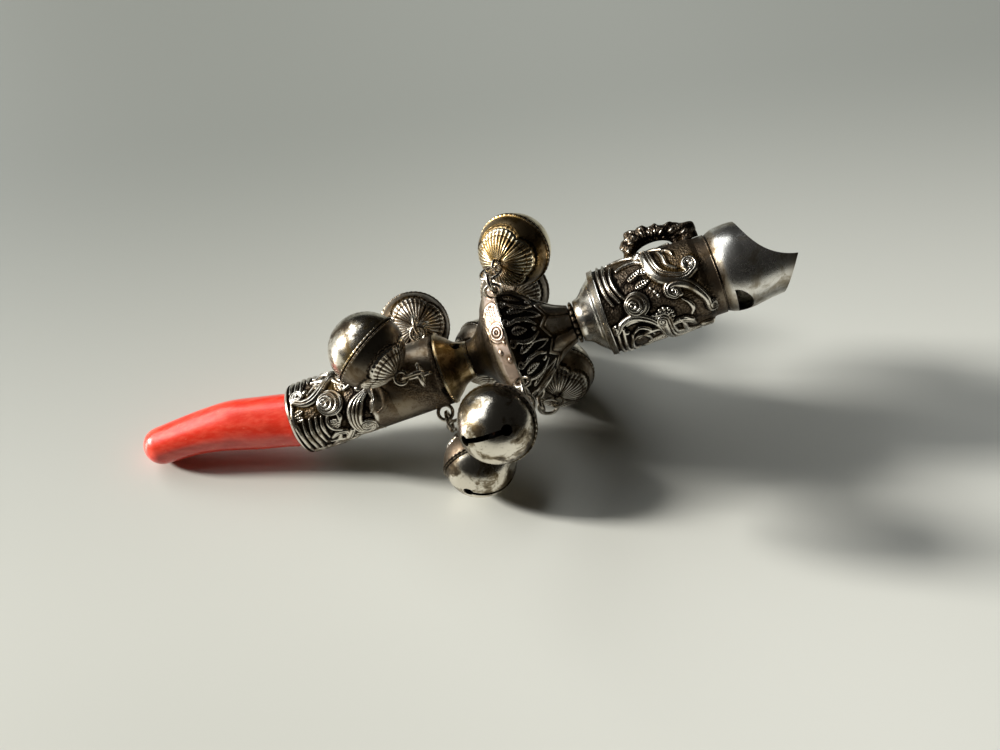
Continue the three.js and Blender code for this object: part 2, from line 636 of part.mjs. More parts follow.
// The cast leafy arch that a ribbon goes through
function ribbonLoop() {
  const end = barrelEndAt - loopFromBarrelEnd;
  const start = end - loopSpan;
  const floor = barrelRadius - sheetWall;
  const shape = new THREE.Shape();
  shape.moveTo(start, floor);
  profile(loopShares, start, loopSpan, barrelRadius, loopRise, loopSteps).forEach(([along, radius], n) => {
    const lobe = loopLobeShare * (Math.abs(Math.sin(loopLobes * Math.PI * n / loopSteps)) - 1);
    shape.lineTo(along, radius + loopRise * lobe);
  });
  shape.lineTo(end, floor);
  shape.closePath();
  const hole = new THREE.Path();
  const middle = (start + end) / 2 + loopOpeningShift;
  hole.absellipse(
    middle, barrelRadius, loopOpeningSpan / 2, loopOpeningRise, 0, Math.PI, false);
  hole.lineTo(middle - loopOpeningSpan / 2, floor - cutOverrun);
  hole.lineTo(middle + loopOpeningSpan / 2, floor - cutOverrun);
  hole.closePath();
  const settings = {
    depth: loopThickness, bevelEnabled: true, bevelThickness: loopBevel, bevelSize: loopBevel,
    bevelSegments: 1, bevelOffset: -loopBevel, curveSegments: 8,
  };
  const arch = new THREE.ExtrudeGeometry(shape, settings);
  arch.translate(0, 0, -loopThickness / 2);
  const opening = new THREE.ExtrudeGeometry(
    new THREE.Shape(hole.getPoints(8)), { depth: 2 * loopThickness, bevelEnabled: false });
  opening.translate(0, 0, -loopThickness);
  const barrelRod = rod(start - cutOverrun, end + cutOverrun, barrelRadius + seatGap);
  return solidOf(arch).subtract(solidOf(opening)).subtract(barrelRod);
}

// Half a bell's outline, from its pole to the seam and back inside, as Vector2 of radius and height
function bellHalf(sign) {
  const seam = seatGap / 2;
  const rim = seam + seamThickness;
  const inner = bellRadius - bellWall;
  const rimTurn = Math.acos(rim / bellRadius);
  const innerTurn = Math.acos(seam / inner);
  const points = [];
  for (let n = 0; n <= bellSteps; n++) {
    const turn = n / bellSteps * rimTurn;
    points.push(new THREE.Vector2(bellRadius * Math.sin(turn), sign * bellRadius * Math.cos(turn)));
  }
  points.push(new THREE.Vector2(bellRadius + seamFlange, sign * rim));
  points.push(new THREE.Vector2(bellRadius + seamFlange, sign * seam));
  for (let n = bellInnerSteps; n >= 0; n--) {
    const turn = n / bellInnerSteps * innerTurn;
    points.push(new THREE.Vector2(inner * Math.sin(turn), sign * inner * Math.cos(turn)));
  }
  return solidOf(new THREE.LatheGeometry(points, bellSides));
}

const innerBall = () => solidOf(new THREE.SphereGeometry(bellRadius - bellWall, bellSides, bellSteps * 2));

function bellCrown() {
  const ring = wireRing(
    stapleRadius, stapleWire, eyeSteps, new THREE.Vector3(0, -bellRadius - bellPoleGap, 0), true);
  return bellHalf(-1).add(ring.subtract(innerBall()));
}

// The plain half: a slit across its pole, between two round holes
function bellBowl() {
  const half = bellRadius * Math.sin(radians(slitTurn));
  const slit = new THREE.BoxGeometry(slitWidth, bellRadius, 2 * half);
  slit.translate(0, bellRadius, 0);
  let bowl = bellHalf(1).subtract(solidOf(slit));
  for (const sign of [-1, 1]) {
    const hole = new THREE.CylinderGeometry(slitHoleRadius, slitHoleRadius, bellRadius, 10);
    hole.translate(0, bellRadius, 0);
    hole.rotateX(sign * radians(slitTurn));
    bowl = bowl.subtract(solidOf(hole));
  }
  return bowl;
}

// From one ring's wire to the next along a chain, and from the last wire to the bell's centre
const ringBite = linkRadius - 2 * wireRadius - ringClearance;
const linkPitch = ringBite + linkRadius;
const stapleBite = stapleRadius - stapleWire - wireRadius - ringClearance;
const bellReach = stapleBite + bellPoleGap + bellRadius;

const crown = bellCrown();
const bowl = bellBowl();
const innerLink = wireRing(linkRadius, wireRadius, linkSteps, new THREE.Vector3(0, ringBite, 0), true);
const outerLink = wireRing(linkRadius, wireRadius, linkSteps, new THREE.Vector3(0, ringBite, 0));
const pellet = solidOf(new THREE.SphereGeometry(pelletRadius, pelletSides, pelletSides - 2));

const pellets = [];

// One bell on its two free links, hung from the eye at a station and an angle about the axis
function hangBell(parent, name, station, wall, turn, ringTurns) {
  const eye = new THREE.Group();
  eye.rotation.x = axisTurn(turn);
  eye.position.set(station, 0, 0);
  parent.add(eye);
  const first = new THREE.Group();
  first.position.set(0, hingeRadius(wall), 0);
  first.rotation.x = radians(ringTurns[0]);
  eye.add(first);
  addPiece(first, name + "_link_inner", innerLink, darkSilver);
  const second = new THREE.Group();
  second.position.set(0, linkPitch, 0);
  second.rotation.z = -radians(ringTurns[1]);
  first.add(second);
  addPiece(second, name + "_link_outer", outerLink, darkSilver);
  const third = new THREE.Group();
  third.position.set(0, linkPitch, 0);
  third.rotation.x = radians(ringTurns[2]);
  second.add(third);
  const bell = new THREE.Group();
  bell.position.set(0, bellReach, 0);
  third.add(bell);
  addPiece(bell, name + "_crown", crown, darkSilver);
  addPiece(bell, name + "_bowl", bowl, silver);
  pellets.push({ bell, mesh: addPiece(bell, name + "_pellet", pellet, iron) });
}

const rattle = new THREE.Group();
rattle.rotation.y = -radians(restTilt);
addPiece(rattle, "coral_stick", coralStick(), coral);
addPiece(rattle, "coral_cement", coralCement(), pitch);
addPiece(rattle, "sleeve", sleeve(), silver);
addPiece(rattle, "sleeve_end_cap", sleeveEndCap(), giltSilver);
addPiece(rattle, "body_flare", bodyFlare(), silver);
addPiece(rattle, "body_shoulder", bodyShoulder(), silver);
addPiece(rattle, "neck_bead_ring", neckBeadRing(), silver);

// The whistle's loop side is +Y in this group
const whistle = new THREE.Group();
whistle.rotation.x = axisTurn(loopTurn);
rattle.add(whistle);
addPiece(whistle, "whistle_skirt", whistleSkirt(), silver);
addPiece(whistle, "whistle_base_plate", whistleBasePlate(), darkSilver);
addPiece(whistle, "whistle_barrel", whistleBarrel(), darkSilver);
addPiece(whistle, "whistle_mouthpiece", whistleMouthpiece(), silver);
addPiece(whistle, "whistle_block", whistleBlock(), darkSilver);
addPiece(whistle, "ribbon_loop", ribbonLoop(), darkSilver);

for (let n = 0; n < 4; n++) {
  hangBell(rattle, `ridge_bell_${n + 1}`, ridgeAt, ridgeRadius, ridgeEyeTurn + n * 90, ridgeBellTurns[n]);
  hangBell(
    rattle, `sleeve_bell_${n + 1}`, sleeveEyesAt, sleeveRadius, sleeveEyeTurn + n * 90,
    sleeveBellTurns[n]);
}

// Each pellet lies at the lowest place inside its bell
rattle.updateMatrixWorld(true);
for (const { bell, mesh } of pellets) {
  const down = new THREE.Vector3(0, 0, -1).applyQuaternion(
    bell.getWorldQuaternion(new THREE.Quaternion()).invert());
  mesh.position.copy(down.multiplyScalar(bellRadius - bellWall - pelletRadius - pelletGap));
}

// The origin is under the middle of the part, on the table
const part = new THREE.Group();
part.add(rattle);
const box = new THREE.Box3().setFromObject(part, true);
const middle = box.getCenter(new THREE.Vector3());
rattle.position.set(-middle.x, -middle.y, -box.min.z);

export default part;
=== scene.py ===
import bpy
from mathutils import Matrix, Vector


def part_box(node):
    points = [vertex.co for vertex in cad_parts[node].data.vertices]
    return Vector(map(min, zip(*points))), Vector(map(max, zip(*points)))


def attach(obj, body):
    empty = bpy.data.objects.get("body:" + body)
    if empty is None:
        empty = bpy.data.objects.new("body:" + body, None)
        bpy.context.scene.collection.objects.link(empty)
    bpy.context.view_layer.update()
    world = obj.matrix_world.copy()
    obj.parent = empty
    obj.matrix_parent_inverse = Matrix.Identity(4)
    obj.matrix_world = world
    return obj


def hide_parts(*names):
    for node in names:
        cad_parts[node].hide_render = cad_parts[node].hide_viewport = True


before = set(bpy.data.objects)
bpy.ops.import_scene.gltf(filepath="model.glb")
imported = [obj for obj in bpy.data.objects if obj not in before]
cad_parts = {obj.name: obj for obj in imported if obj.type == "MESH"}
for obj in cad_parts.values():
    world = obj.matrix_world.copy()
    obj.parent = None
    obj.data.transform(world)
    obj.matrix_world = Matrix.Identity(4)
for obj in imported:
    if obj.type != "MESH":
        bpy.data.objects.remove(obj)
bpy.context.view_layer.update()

import bpy
import numpy as np
from mathutils import Matrix, Vector

# one millimetre in metres
mm = 0.001

# How the rattle lies, as the solids have it: degrees, and millimetres along its axis
lie = dict(tilt=17.7, roll=38.2, plateMiddleAt=101.75)

# Places along the axis, in millimetres, where the sleeve's mouth is at 31
at = dict(mouth=31.0, collarEnd=49.6, sleeveEnd=65.2, disc=65.5, waist=71.7, flare=72.0, flareRim=79.3,
          ridge=81.7, neck=94.6, bead=94.9, skirt=96.0, skirtRim=102.0, barrel=101.1, barrelStep=122.4,
          barrelEnd=126.0, bulb=126.3, beak=132.4, tip=142.2)

tiltAngle = np.radians(lie["tilt"])
# columns are the rattle's own axes in the row frame: along it, across it, and up from it
rattleTurn = np.array([[np.cos(tiltAngle), 0, -np.sin(tiltAngle)],
                       [0, 1, 0],
                       [np.sin(tiltAngle), 0, np.cos(tiltAngle)]])
plateLow, plateHigh = (np.array(corner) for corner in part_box("whistle_base_plate"))
rattlePlace = (plateLow + plateHigh) / 2 / mm - rattleTurn @ np.array([lie["plateMiddleAt"], 0, 0])


def around(turn):
    # the angle from the rattle's own +Y of a place at that many degrees about the axis
    return np.pi - np.radians(np.asarray(turn, float) - lie["roll"])


def onAxis(along, radius, turn):
    # a point at that place along the axis, radius from it and degrees about it
    angle = around(turn)
    along, radius, angle = np.broadcast_arrays(along, radius, angle)
    return np.stack([along, radius * np.cos(angle), radius * np.sin(angle)], -1)


def toRow(points, matrix=None):
    # points of the rattle, or of a piece that matrix places on it, in metres of the row frame
    flat = np.asarray(points, float).reshape(-1, 3)
    if matrix is not None:
        flat = flat @ matrix[:3, :3].T + matrix[:3, 3]
    return (flat @ rattleTurn.T + rattlePlace) * mm


# Meshes
def gridFaces(rows, columns, wrapRows, wrapColumns):
    # the quads between neighbouring points of a grid
    down = np.arange(rows if wrapRows else rows - 1)
    across = np.arange(columns if wrapColumns else columns - 1)
    r, c = np.meshgrid(down, across, indexing="ij")
    rNext, cNext = (r + 1) % rows, (c + 1) % columns
    corners = [r * columns + c, r * columns + cNext, rNext * columns + cNext, rNext * columns + c]
    return np.stack(corners, -1).reshape(-1, 4)


def fanFaces(ring, pole):
    # triangles from a closed ring of points to one pole
    return np.stack([ring, np.roll(ring, -1), np.full_like(ring, pole)], -1)


def makeMesh(name, points, quads, triangles=None, values=None, tints=None):
    # a smooth mesh, turned so that it encloses a volume above zero
    triangles = np.zeros((0, 3), int) if triangles is None else triangles
    split = np.concatenate([quads[:, [0, 1, 2]], quads[:, [0, 2, 3]], triangles])
    a, b, c = (points[split[:, k]] for k in range(3))
    if (a * np.cross(b, c)).sum() < 0:
        quads, triangles = quads[:, ::-1], triangles[:, ::-1]
    mesh = bpy.data.meshes.new(name)
    mesh.vertices.add(len(points))
    mesh.vertices.foreach_set("co", points.astype(np.float32).ravel())
    corners = np.concatenate([quads.ravel(), triangles.ravel()]).astype(np.int32)
    starts = np.concatenate([np.arange(len(quads)) * 4, len(quads) * 4 + np.arange(len(triangles)) * 3])
    mesh.loops.add(len(corners))
    mesh.loops.foreach_set("vertex_index", corners)
    mesh.polygons.add(len(starts))
    mesh.polygons.foreach_set("loop_start", starts.astype(np.int32))
    mesh.update(calc_edges=True)
    mesh.polygons.foreach_set("use_smooth", np.ones(len(starts), bool))
    for label, numbers in (("recess", values), ("warmth", tints)):
        if numbers is not None:
            mesh.attributes.new(label, "FLOAT", "POINT").data.foreach_set(
                "value", np.asarray(numbers, np.float32).ravel())
    return mesh


def looseObject(name, data):
    # an object in the scene for a mesh, the camera or a lamp
    thing = bpy.data.objects.new(name, data)
    bpy.context.scene.collection.objects.link(thing)
    return thing


def addPiece(name, mesh, material, body, slot, *nodes):
    # a mesh as one piece of the part, riding a body and standing in for the nodes that it replaces
    piece = looseObject(name, mesh)
    mesh.materials.clear()
    mesh.materials.append(material)
    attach(piece, body)
    if nodes:
        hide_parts(*nodes)
    return piece


def loopMesh(name, rows, values=None, place=toRow, tints=None):
    # rows of points that close both ways
    return makeMesh(name, place(rows.reshape(-1, 3)), gridFaces(*rows.shape[:2], True, True), values=values,
                    tints=tints)


def poleMesh(name, rows, poles, values=None, place=toRow):
    # closed rows of points with a pole before the first and one after the last
    count, sides = rows.shape[:2]
    ring, total = np.arange(sides), count * sides
    caps = np.concatenate([fanFaces(ring[::-1], total), fanFaces(ring + total - sides, total + 1)])
    if values is not None:
        values = np.concatenate([np.ravel(values), [np.mean(values[0]), np.mean(values[-1])]])
    points = np.concatenate([rows.reshape(-1, 3), np.asarray(poles, float)])
    return makeMesh(name, place(points), gridFaces(count, sides, False, True), caps, values)


def roundTurns(sides):
    # evenly spaced degrees about the axis
    return np.arange(sides) / sides * 360


def spread(outline, turns):
    # rows of points, one for each point of the outline, at each turn about the axis
    outline = np.asarray(outline, float)
    return onAxis(outline[:, :1], outline[:, 1:], turns)


def turned(outline, sides):
    # an outline of along and radius carried once round the axis
    return spread(outline, roundTurns(sides))


def asDrawn(points):
    # for a blank that stays in its own millimetres until it is placed
    return points


def smoothLine(points, steps):
    # a Catmull-Rom line through points of along and radius
    points = np.asarray(points, float)
    ends = np.concatenate([[2 * points[0] - points[1]], points, [2 * points[-1] - points[-2]]])
    place = np.linspace(0, len(points) - 1, steps)
    k = np.minimum(place.astype(int), len(points) - 2)
    t = (place - k)[:, None]
    a, b, c, d = ends[k], ends[k + 1], ends[k + 2], ends[k + 3]
    return 0.5 * (2 * b + (c - a) * t + (2 * a - 5 * b + 4 * c - d) * t ** 2
                  + (3 * b - a - 3 * c + d) * t ** 3)


def applyCut(piece, cutters):
    # cuts the cutters out of a piece for good, and removes them
    for cutter in cutters:
        cut = piece.modifiers.new("cut", "BOOLEAN")
        cut.operation, cut.solver, cut.object = "DIFFERENCE", "EXACT", cutter
    seen = piece.evaluated_get(bpy.context.evaluated_depsgraph_get())
    mesh = bpy.data.meshes.new_from_object(seen)
    piece.modifiers.clear()
    piece.data = mesh
    for cutter in cutters:
        bpy.data.objects.remove(cutter)


print("stage: helpers ready")


# Materials
def linear(code):
    # an sRGB hex colour as Blender's linear colour
    parts = [int(code[k:k + 2], 16) / 255 for k in (1, 3, 5)]
    return [p / 12.92 if p <= 0.04045 else ((p + 0.055) / 1.055) ** 2.4 for p in parts] + [1]


def setInputs(tree, node, inputs):
    # each input is a value, or another node's output
    for key, value in inputs.items():
        if isinstance(value, bpy.types.NodeSocket):
            tree.links.new(value, node.inputs[key])
        else:
            node.inputs[key].default_value = value


def addNode(tree, kind, output, inputs=None, **settings):
    # one node with its settings and links, given back as the output that is used of it
    node = tree.nodes.new(kind)
    for key, value in settings.items():
        setattr(node, key, value)
    setInputs(tree, node, inputs or {})
    return node.outputs[output]


def newMaterial(name):
    # a material with its node tree and its shader
    material = bpy.data.materials.new(name)
    material.use_nodes = True
    tree = material.node_tree
    return material, tree, tree.nodes["Principled BSDF"]


# a Mix node's sockets for colours go by number
mixShare, mixUnder, mixOver, mixResult = 0, 6, 7, 2


def layered(tree, under, over, pattern, start, full, cover=1.0, way="MIX"):
    # a colour laid over another: none of it where the pattern is at start, smoothly up to cover at full
    share = addNode(tree, "ShaderNodeMapRange", "Result", {
        "Value": pattern, "From Min": start, "From Max": full, "To Max": cover},
        interpolation_type="SMOOTHSTEP")
    return addNode(tree, "ShaderNodeMix", mixResult, {
        mixShare: share, mixUnder: under, mixOver: linear(over)}, data_type="RGBA", blend_type=way)


# What all the silver shares. Stains, specks in them, clouds of gilding, wear and the bump's height are in
# millimetres; the wear is drawn coarser than it is, so that it shows
silverFinish = dict(stain=4.348, speck=0.6667, bloom=8.333, wear=0.3846, wearShare=0.16, bumpHeight=0.22,
                    bumpStrength=0.55, warmth="#EFC4AE", warmthRoughness=0.55)


def silverMaterial(name, bright, middle, ground, chink, gilt, giltAmount, tarnish, roughness, stipple):
    # sterling silver, oxidised in its recesses and rubbed bright on what stands proud: a warm white on the
    # edges, then grey, then a brown-grey punched ground, and black in the chinks; the dimples carry painted
    # shade and a painted highlight, and some meshes put painted shade into the recess that it reads; stipple
    # is the dimples' distance in millimetres and their share of the bump
    c = silverFinish
    material, tree, shader = newMaterial(name)
    place = addNode(tree, "ShaderNodeTexCoord", "Object")
    recess = addNode(tree, "ShaderNodeAttribute", "Fac", attribute_name="recess")
    stains = addNode(tree, "ShaderNodeTexNoise", "Fac", {
        "Vector": place, "Scale": 1 / (c["stain"] * mm), "Detail": 5.0, "Roughness": 0.62, "Distortion": 0.4})
    specks = addNode(tree, "ShaderNodeTexNoise", "Fac", {
        "Vector": place, "Scale": 1 / (c["speck"] * mm), "Detail": 3.0, "Roughness": 0.7})
    dimples = addNode(tree, "ShaderNodeTexVoronoi", "Distance", {
        "Vector": place, "Scale": 1 / (stipple[0] * mm)}, feature="F1")

    # grime is the recess, with the stains and the specks added
    grime = recess
    for pattern, start, full, amount in ((stains, 0.42, 0.74, tarnish), (specks, 0.55, 0.8, tarnish * 0.5)):
        share = addNode(tree, "ShaderNodeMapRange", "Result", {
            "Value": pattern, "From Min": start, "From Max": full, "To Max": amount},
            interpolation_type="SMOOTHSTEP")
        grime = addNode(tree, "ShaderNodeMath", "Value", {0: grime, 1: share}, operation="ADD")
    colour = layered(tree, linear(bright), middle, grime, 0.02, 0.3)
    colour = layered(tree, colour, ground, grime, 0.28, 0.55)

    # on the low ground the dimples are dark at their bottoms, with oxide and painted shade, and lighter on
    # the rims between, rubbed and with a painted highlight
    low = addNode(tree, "ShaderNodeMapRange", "Result", {
        "Value": recess, "From Min": 0.35, "From Max": 0.55}, interpolation_type="SMOOTHSTEP")
    shares = []
    for full, amount in ((0.8, 0.55), (0.12, 0.75)):
        share = addNode(tree, "ShaderNodeMapRange", "Result", {
            "Value": dimples, "From Min": 0.5, "From Max": full, "To Max": amount},
            interpolation_type="SMOOTHSTEP")
        shares.append(addNode(tree, "ShaderNodeMath", "Value", {0: share, 1: low}, operation="MULTIPLY"))
    rimsRubbedAndLit, bottomsOxideAndShade = shares
    # and the chinks are black, as are the dimples' bottoms with their painted shade
    black = addNode(tree, "ShaderNodeMapRange", "Result", {
        "Value": grime, "From Min": 0.6, "From Max": 0.9}, interpolation_type="SMOOTHSTEP")
    black = addNode(tree, "ShaderNodeMath", "Value", {0: black, 1: bottomsOxideAndShade}, operation="MAXIMUM")
    for share, code in ((rimsRubbedAndLit, middle), (black, chink)):
        colour = addNode(tree, "ShaderNodeMix", mixResult, {
            mixShare: share, mixUnder: colour, mixOver: linear(code)}, data_type="RGBA")

    # gilding, or its yellow bloom, in clouds
    bloom = addNode(tree, "ShaderNodeTexNoise", "Fac", {
        "Vector": place, "Scale": 1 / (c["bloom"] * mm), "Detail": 4.0})
    colour = layered(tree, colour, gilt, bloom, 0.45, 0.7, giltAmount)
    # where the alloy's copper blooms pink, it is duller too
    warmth = addNode(tree, "ShaderNodeAttribute", "Fac", attribute_name="warmth")
    colour = addNode(tree, "ShaderNodeMix", mixResult, {
        mixShare: warmth, mixUnder: colour, mixOver: linear(c["warmth"])},
        data_type="RGBA", blend_type="MULTIPLY")
    rough = addNode(tree, "ShaderNodeMapRange", "Result", {
        "Value": grime, "To Min": roughness[0], "To Max": roughness[1]})
    rough = addNode(tree, "ShaderNodeMath", "Value", {
        0: warmth, 1: c["warmthRoughness"], 2: rough}, operation="MULTIPLY_ADD")

    # the dimples' depth, and scratches and wear
    wear = addNode(tree, "ShaderNodeTexNoise", "Fac", {
        "Vector": place, "Scale": 1 / (c["wear"] * mm), "Detail": 4.0, "Roughness": 0.75})
    scratches = addNode(tree, "ShaderNodeMath", "Value", {0: wear, 1: c["wearShare"]}, operation="MULTIPLY")
    dents = addNode(tree, "ShaderNodeMath", "Value", {0: dimples, 1: low}, operation="MULTIPLY")
    height = addNode(tree, "ShaderNodeMath", "Value", {
        0: dents, 1: stipple[1], 2: scratches}, operation="MULTIPLY_ADD")
    normal = addNode(tree, "ShaderNodeBump", "Normal", {
        "Height": height, "Strength": c["bumpStrength"], "Distance": c["bumpHeight"] * mm})
    setInputs(tree, shader, {"Base Color": colour, "Metallic": 1.0, "Roughness": rough, "Normal": normal})
    return material


# cast, chased by hand and oxidised: bright edges over a dark, punched ground
chasedSilver = silverMaterial("oxidisedChasedSilver", "#EAE4D8", "#857B6C", "#5F5244", "#110D0A", "#8A6B32",
                              0.14, 0.44, (0.2, 0.62), (0.42, 1.5))
# spun and burnished, so that it mirrors the room
polishedSilver = silverMaterial("rubbedSilver", "#F4F0E8", "#B0A593", "#5F513F", "#1D1711", "#A08452",
                                0.16, 0.3, (0.17, 0.5), (0.3, 0.4))
# the same, held in the mouth for years and buffed to a soft gloss
buffedSilver = silverMaterial("buffedSilver", "#F1EEE8", "#A79D8D", "#594B3A", "#1D1711", "#8E7A4C",
                              0.14, 0.34, (0.25, 0.55), (0.3, 0.5))
# spun sheet that has lain in a drawer: mottled brown-grey, with brown specks
spunSilver = silverMaterial("mottledSpunSilver", "#E9E2D4", "#8A7F6C", "#443A2D", "#171310", "#8B7440",
                            0.24, 0.78, (0.16, 0.55), (0.3, 0.4))
# silver with a worn yellow tarnish, as old gilding leaves it
goldenSilver = silverMaterial("goldenTarnishedSilver", "#EFE4C6", "#A8906A", "#5F4B2A", "#17120B", "#A98C50",
                              0.42, 0.4, (0.2, 0.5), (0.3, 0.5))
# drawn wire, rubbed bright where the links chafe
wireSilver = silverMaterial("drawnSilverWire", "#EFE9DD", "#A29786", "#5F5346", "#1D1813", "#8A7140",
                            0.16, 0.3, (0.18, 0.5), (0.3, 0.3))

# Red coral, ground and polished, with soft waxy gloss and lengthwise growth streaks; sizes in millimetres
coralFinish = dict(body="#E2351F", light="#EE5640", deep="#C21E0C", scuffed="#F7A08C", streak=1.111,
                   stretch=0.3, scuff=0.3846, cloud=7.143, roughness=0.3, throughLight=0.35,
                   lightReach=(1.5, 0.4, 0.2), coat=0.3, coatRoughness=0.13,
                   bumpHeight=0.2, bumpStrength=0.12)
redCoral, coralTree, coralShader = newMaterial("polishedRedCoral")
coralPlace = addNode(coralTree, "ShaderNodeTexCoord", "Object")
# drawn out along X, near which the stick lies
coralAlong = addNode(coralTree, "ShaderNodeMapping", "Vector", {
    "Vector": coralPlace, "Scale": (coralFinish["stretch"], 1.0, 1.0)})
coralStreaks = addNode(coralTree, "ShaderNodeTexNoise", "Fac", {
    "Vector": coralAlong, "Scale": 1 / (coralFinish["streak"] * mm), "Detail": 4.0, "Roughness": 0.6})
coralScuffs = addNode(coralTree, "ShaderNodeTexNoise", "Fac", {
    "Vector": coralAlong, "Scale": 1 / (coralFinish["scuff"] * mm), "Detail": 2.0})
coralClouds = addNode(coralTree, "ShaderNodeTexNoise", "Fac", {
    "Vector": coralPlace, "Scale": 1 / (coralFinish["cloud"] * mm), "Detail": 3.0})
coralColour = layered(coralTree, linear(coralFinish["body"]), coralFinish["light"], coralStreaks, 0.35, 0.7)
coralColour = layered(coralTree, coralColour, coralFinish["scuffed"], coralScuffs, 0.68, 0.78, 0.6)
coralColour = layered(coralTree, coralColour, coralFinish["deep"], coralClouds, 0.5, 0.75, 0.5)
coralNormal = addNode(coralTree, "ShaderNodeBump", "Normal", {
    "Height": coralStreaks, "Strength": coralFinish["bumpStrength"],
    "Distance": coralFinish["bumpHeight"] * mm})
setInputs(coralTree, coralShader, {
    "Base Color": coralColour, "Roughness": coralFinish["roughness"], "Normal": coralNormal,
    "Subsurface Weight": coralFinish["throughLight"], "Subsurface Scale": 1.0,
    "Subsurface Radius": [reach * mm for reach in coralFinish["lightReach"]],
    "Coat Weight": coralFinish["coat"], "Coat Roughness": coralFinish["coatRoughness"]})

# Chaser's pitch: brown-black and slightly waxy, with grains of brick dust in millimetres
pitchFinish = dict(dark="#1D1612", light="#3A2C22", grain=1.25, roughness=0.6)
darkPitch, pitchTree, pitchShader = newMaterial("chasersPitch")
pitchGrain = addNode(pitchTree, "ShaderNodeTexNoise", "Fac", {
    "Vector": addNode(pitchTree, "ShaderNodeTexCoord", "Object"), "Scale": 1 / (pitchFinish["grain"] * mm)})
pitchColour = addNode(pitchTree, "ShaderNodeMix", mixResult, {
    mixShare: pitchGrain, mixUnder: linear(pitchFinish["dark"]), mixOver: linear(pitchFinish["light"])},
    data_type="RGBA")
setInputs(pitchTree, pitchShader, {"Base Color": pitchColour, "Roughness": pitchFinish["roughness"]})

# A forged iron pea, dark with a little rust in spots of that many millimetres
ironFinish = dict(dark="#4A4744", rust="#6B4630", spot=1.111, metallic=0.8, roughness=0.55)
forgedIron, ironTree, ironShader = newMaterial("forgedIronPea")
ironSpots = addNode(ironTree, "ShaderNodeTexNoise", "Fac", {
    "Vector": addNode(ironTree, "ShaderNodeTexCoord", "Object"), "Scale": 1 / (ironFinish["spot"] * mm),
    "Detail": 4.0})
ironColour = layered(ironTree, linear(ironFinish["dark"]), ironFinish["rust"], ironSpots, 0.45, 0.7)
setInputs(ironTree, ironShader, {
    "Base Color": ironColour, "Metallic": ironFinish["metallic"], "Roughness": ironFinish["roughness"]})

print("stage: materials ready")


# Chased ornament, drawn on a flat sheet in millimetres: along the axis, and across it by the wall's arc
def rolledUp(line, side, radius, turns=1.35):
    # the line goes on round a centre at its side, closing in as a snail's; side 0 leaves it as it is
    if not side:
        return line
    heading = line[-1] - line[-2]
    heading = heading / np.linalg.norm(heading)
    centre = line[-1] + side * radius * np.array([-heading[1], heading[0]])
    angle = np.linspace(0, 2 * np.pi * turns, 70)[1:]
    start = np.arctan2(*(line[-1] - centre)[::-1])
    reach = radius * (1 - 0.66 * angle / angle[-1])
    return np.concatenate([line, centre + reach[:, None] * np.stack(
        [np.cos(start + side * angle), np.sin(start + side * angle)], -1)])


def strandHeight(a, s, points, width, rise=0.6, grooves=(), curls=((0, 0), (0, 0)), ends=(0.35, 0.4)):
    # a rounded band along a smooth line through the points: across it the height falls as a circle's
    # edge does, with a groove cut at each given share of its half width; curls roll its two ends up
    line = smoothLine(points, 70)
    count = len(line)
    line = rolledUp(line, *curls[1])
    after = len(line) - count
    line = rolledUp(line[::-1], *curls[0])[::-1]
    before = len(line) - count - after
    t = np.linspace(0, 1, count)
    body = np.interp(t, [0, 0.5, 1], [ends[0], 1, ends[1]]) ** 0.8
    body = np.maximum(body, 1 - (2 * t - 1) ** 2) * np.interp(t, [0, 0.3, 0.7, 1], [0.9, 1, 1, 0.9])
    shrink = lambda end, n: end * np.linspace(1, 0.62, n + 1)[1:]
    half = width * np.concatenate([shrink(body[0], before)[::-1], body, shrink(body[-1], after)])
    way = np.gradient(line, axis=0)
    way /= np.linalg.norm(way, axis=1)[:, None]
    height = np.zeros(a.shape)
    low, high = line.min(0) - width, line.max(0) + width
    near = (a > low[0]) & (a < high[0]) & (s > low[1]) & (s < high[1])
    du, dv = a[near][:, None] - line[:, 0], s[near][:, None] - line[:, 1]
    gap = np.hypot(du, dv) / half
    k = gap.argmin(1)
    gap = gap[np.arange(len(k)), k]
    off = np.sign(way[k, 0] * dv[np.arange(len(k)), k] - way[k, 1] * du[np.arange(len(k)), k]) * gap
    profile = np.sqrt(np.clip(1 - gap ** 2, 0, None))
    for groove in grooves:
        profile = profile * (1 - 0.55 * np.exp(-((off - groove) / 0.11) ** 2))
    height[near] = rise * (0.55 + 0.45 * half[k] / width) * profile
    return height


def strand(turns, alongs, radius, line, *rest, **sizes):
    # a band on the wall through points of along and degrees about the axis
    line = np.asarray(line, float)
    middle = line[:, 1].mean()
    flat = np.column_stack([line[:, 0], np.radians(line[:, 1] - middle) * radius])
    across = (turns - middle + 180) % 360 - 180
    s = np.radians(across)[None, :] * radius + 0 * alongs[:, None]
    a = alongs[:, None] + 0 * turns[None, :]
    return strandHeight(a, s, flat, *rest, **sizes)


def snail(u, v, radius=2.7, rise=0.95, rings=3.6, offset=(0.0, 0.0)):
    # a domed boss with rings that wind into a point off its middle: each ring is a circle whose middle
    # lies between the boss's own and the point
    d = -np.asarray(offset)
    qu, qv = u - offset[0], v - offset[1]
    dot, room = qu * d[0] + qv * d[1], radius ** 2 - d @ d
    t = (-dot + np.sqrt(dot ** 2 + room * (qu ** 2 + qv ** 2))) / room
    dome = np.sqrt(np.clip(1 - t ** 2, 0, None))
    wind = 0.5 + 0.5 * np.cos(2 * np.pi * rings * t - np.arctan2(qv, qu))
    ringed = (0.3 + 0.55 * dome) * (0.55 + 0.45 * wind ** 0.8) + 0.2 * dome ** 3
    return np.where(t < 1, rise * ringed, 0)


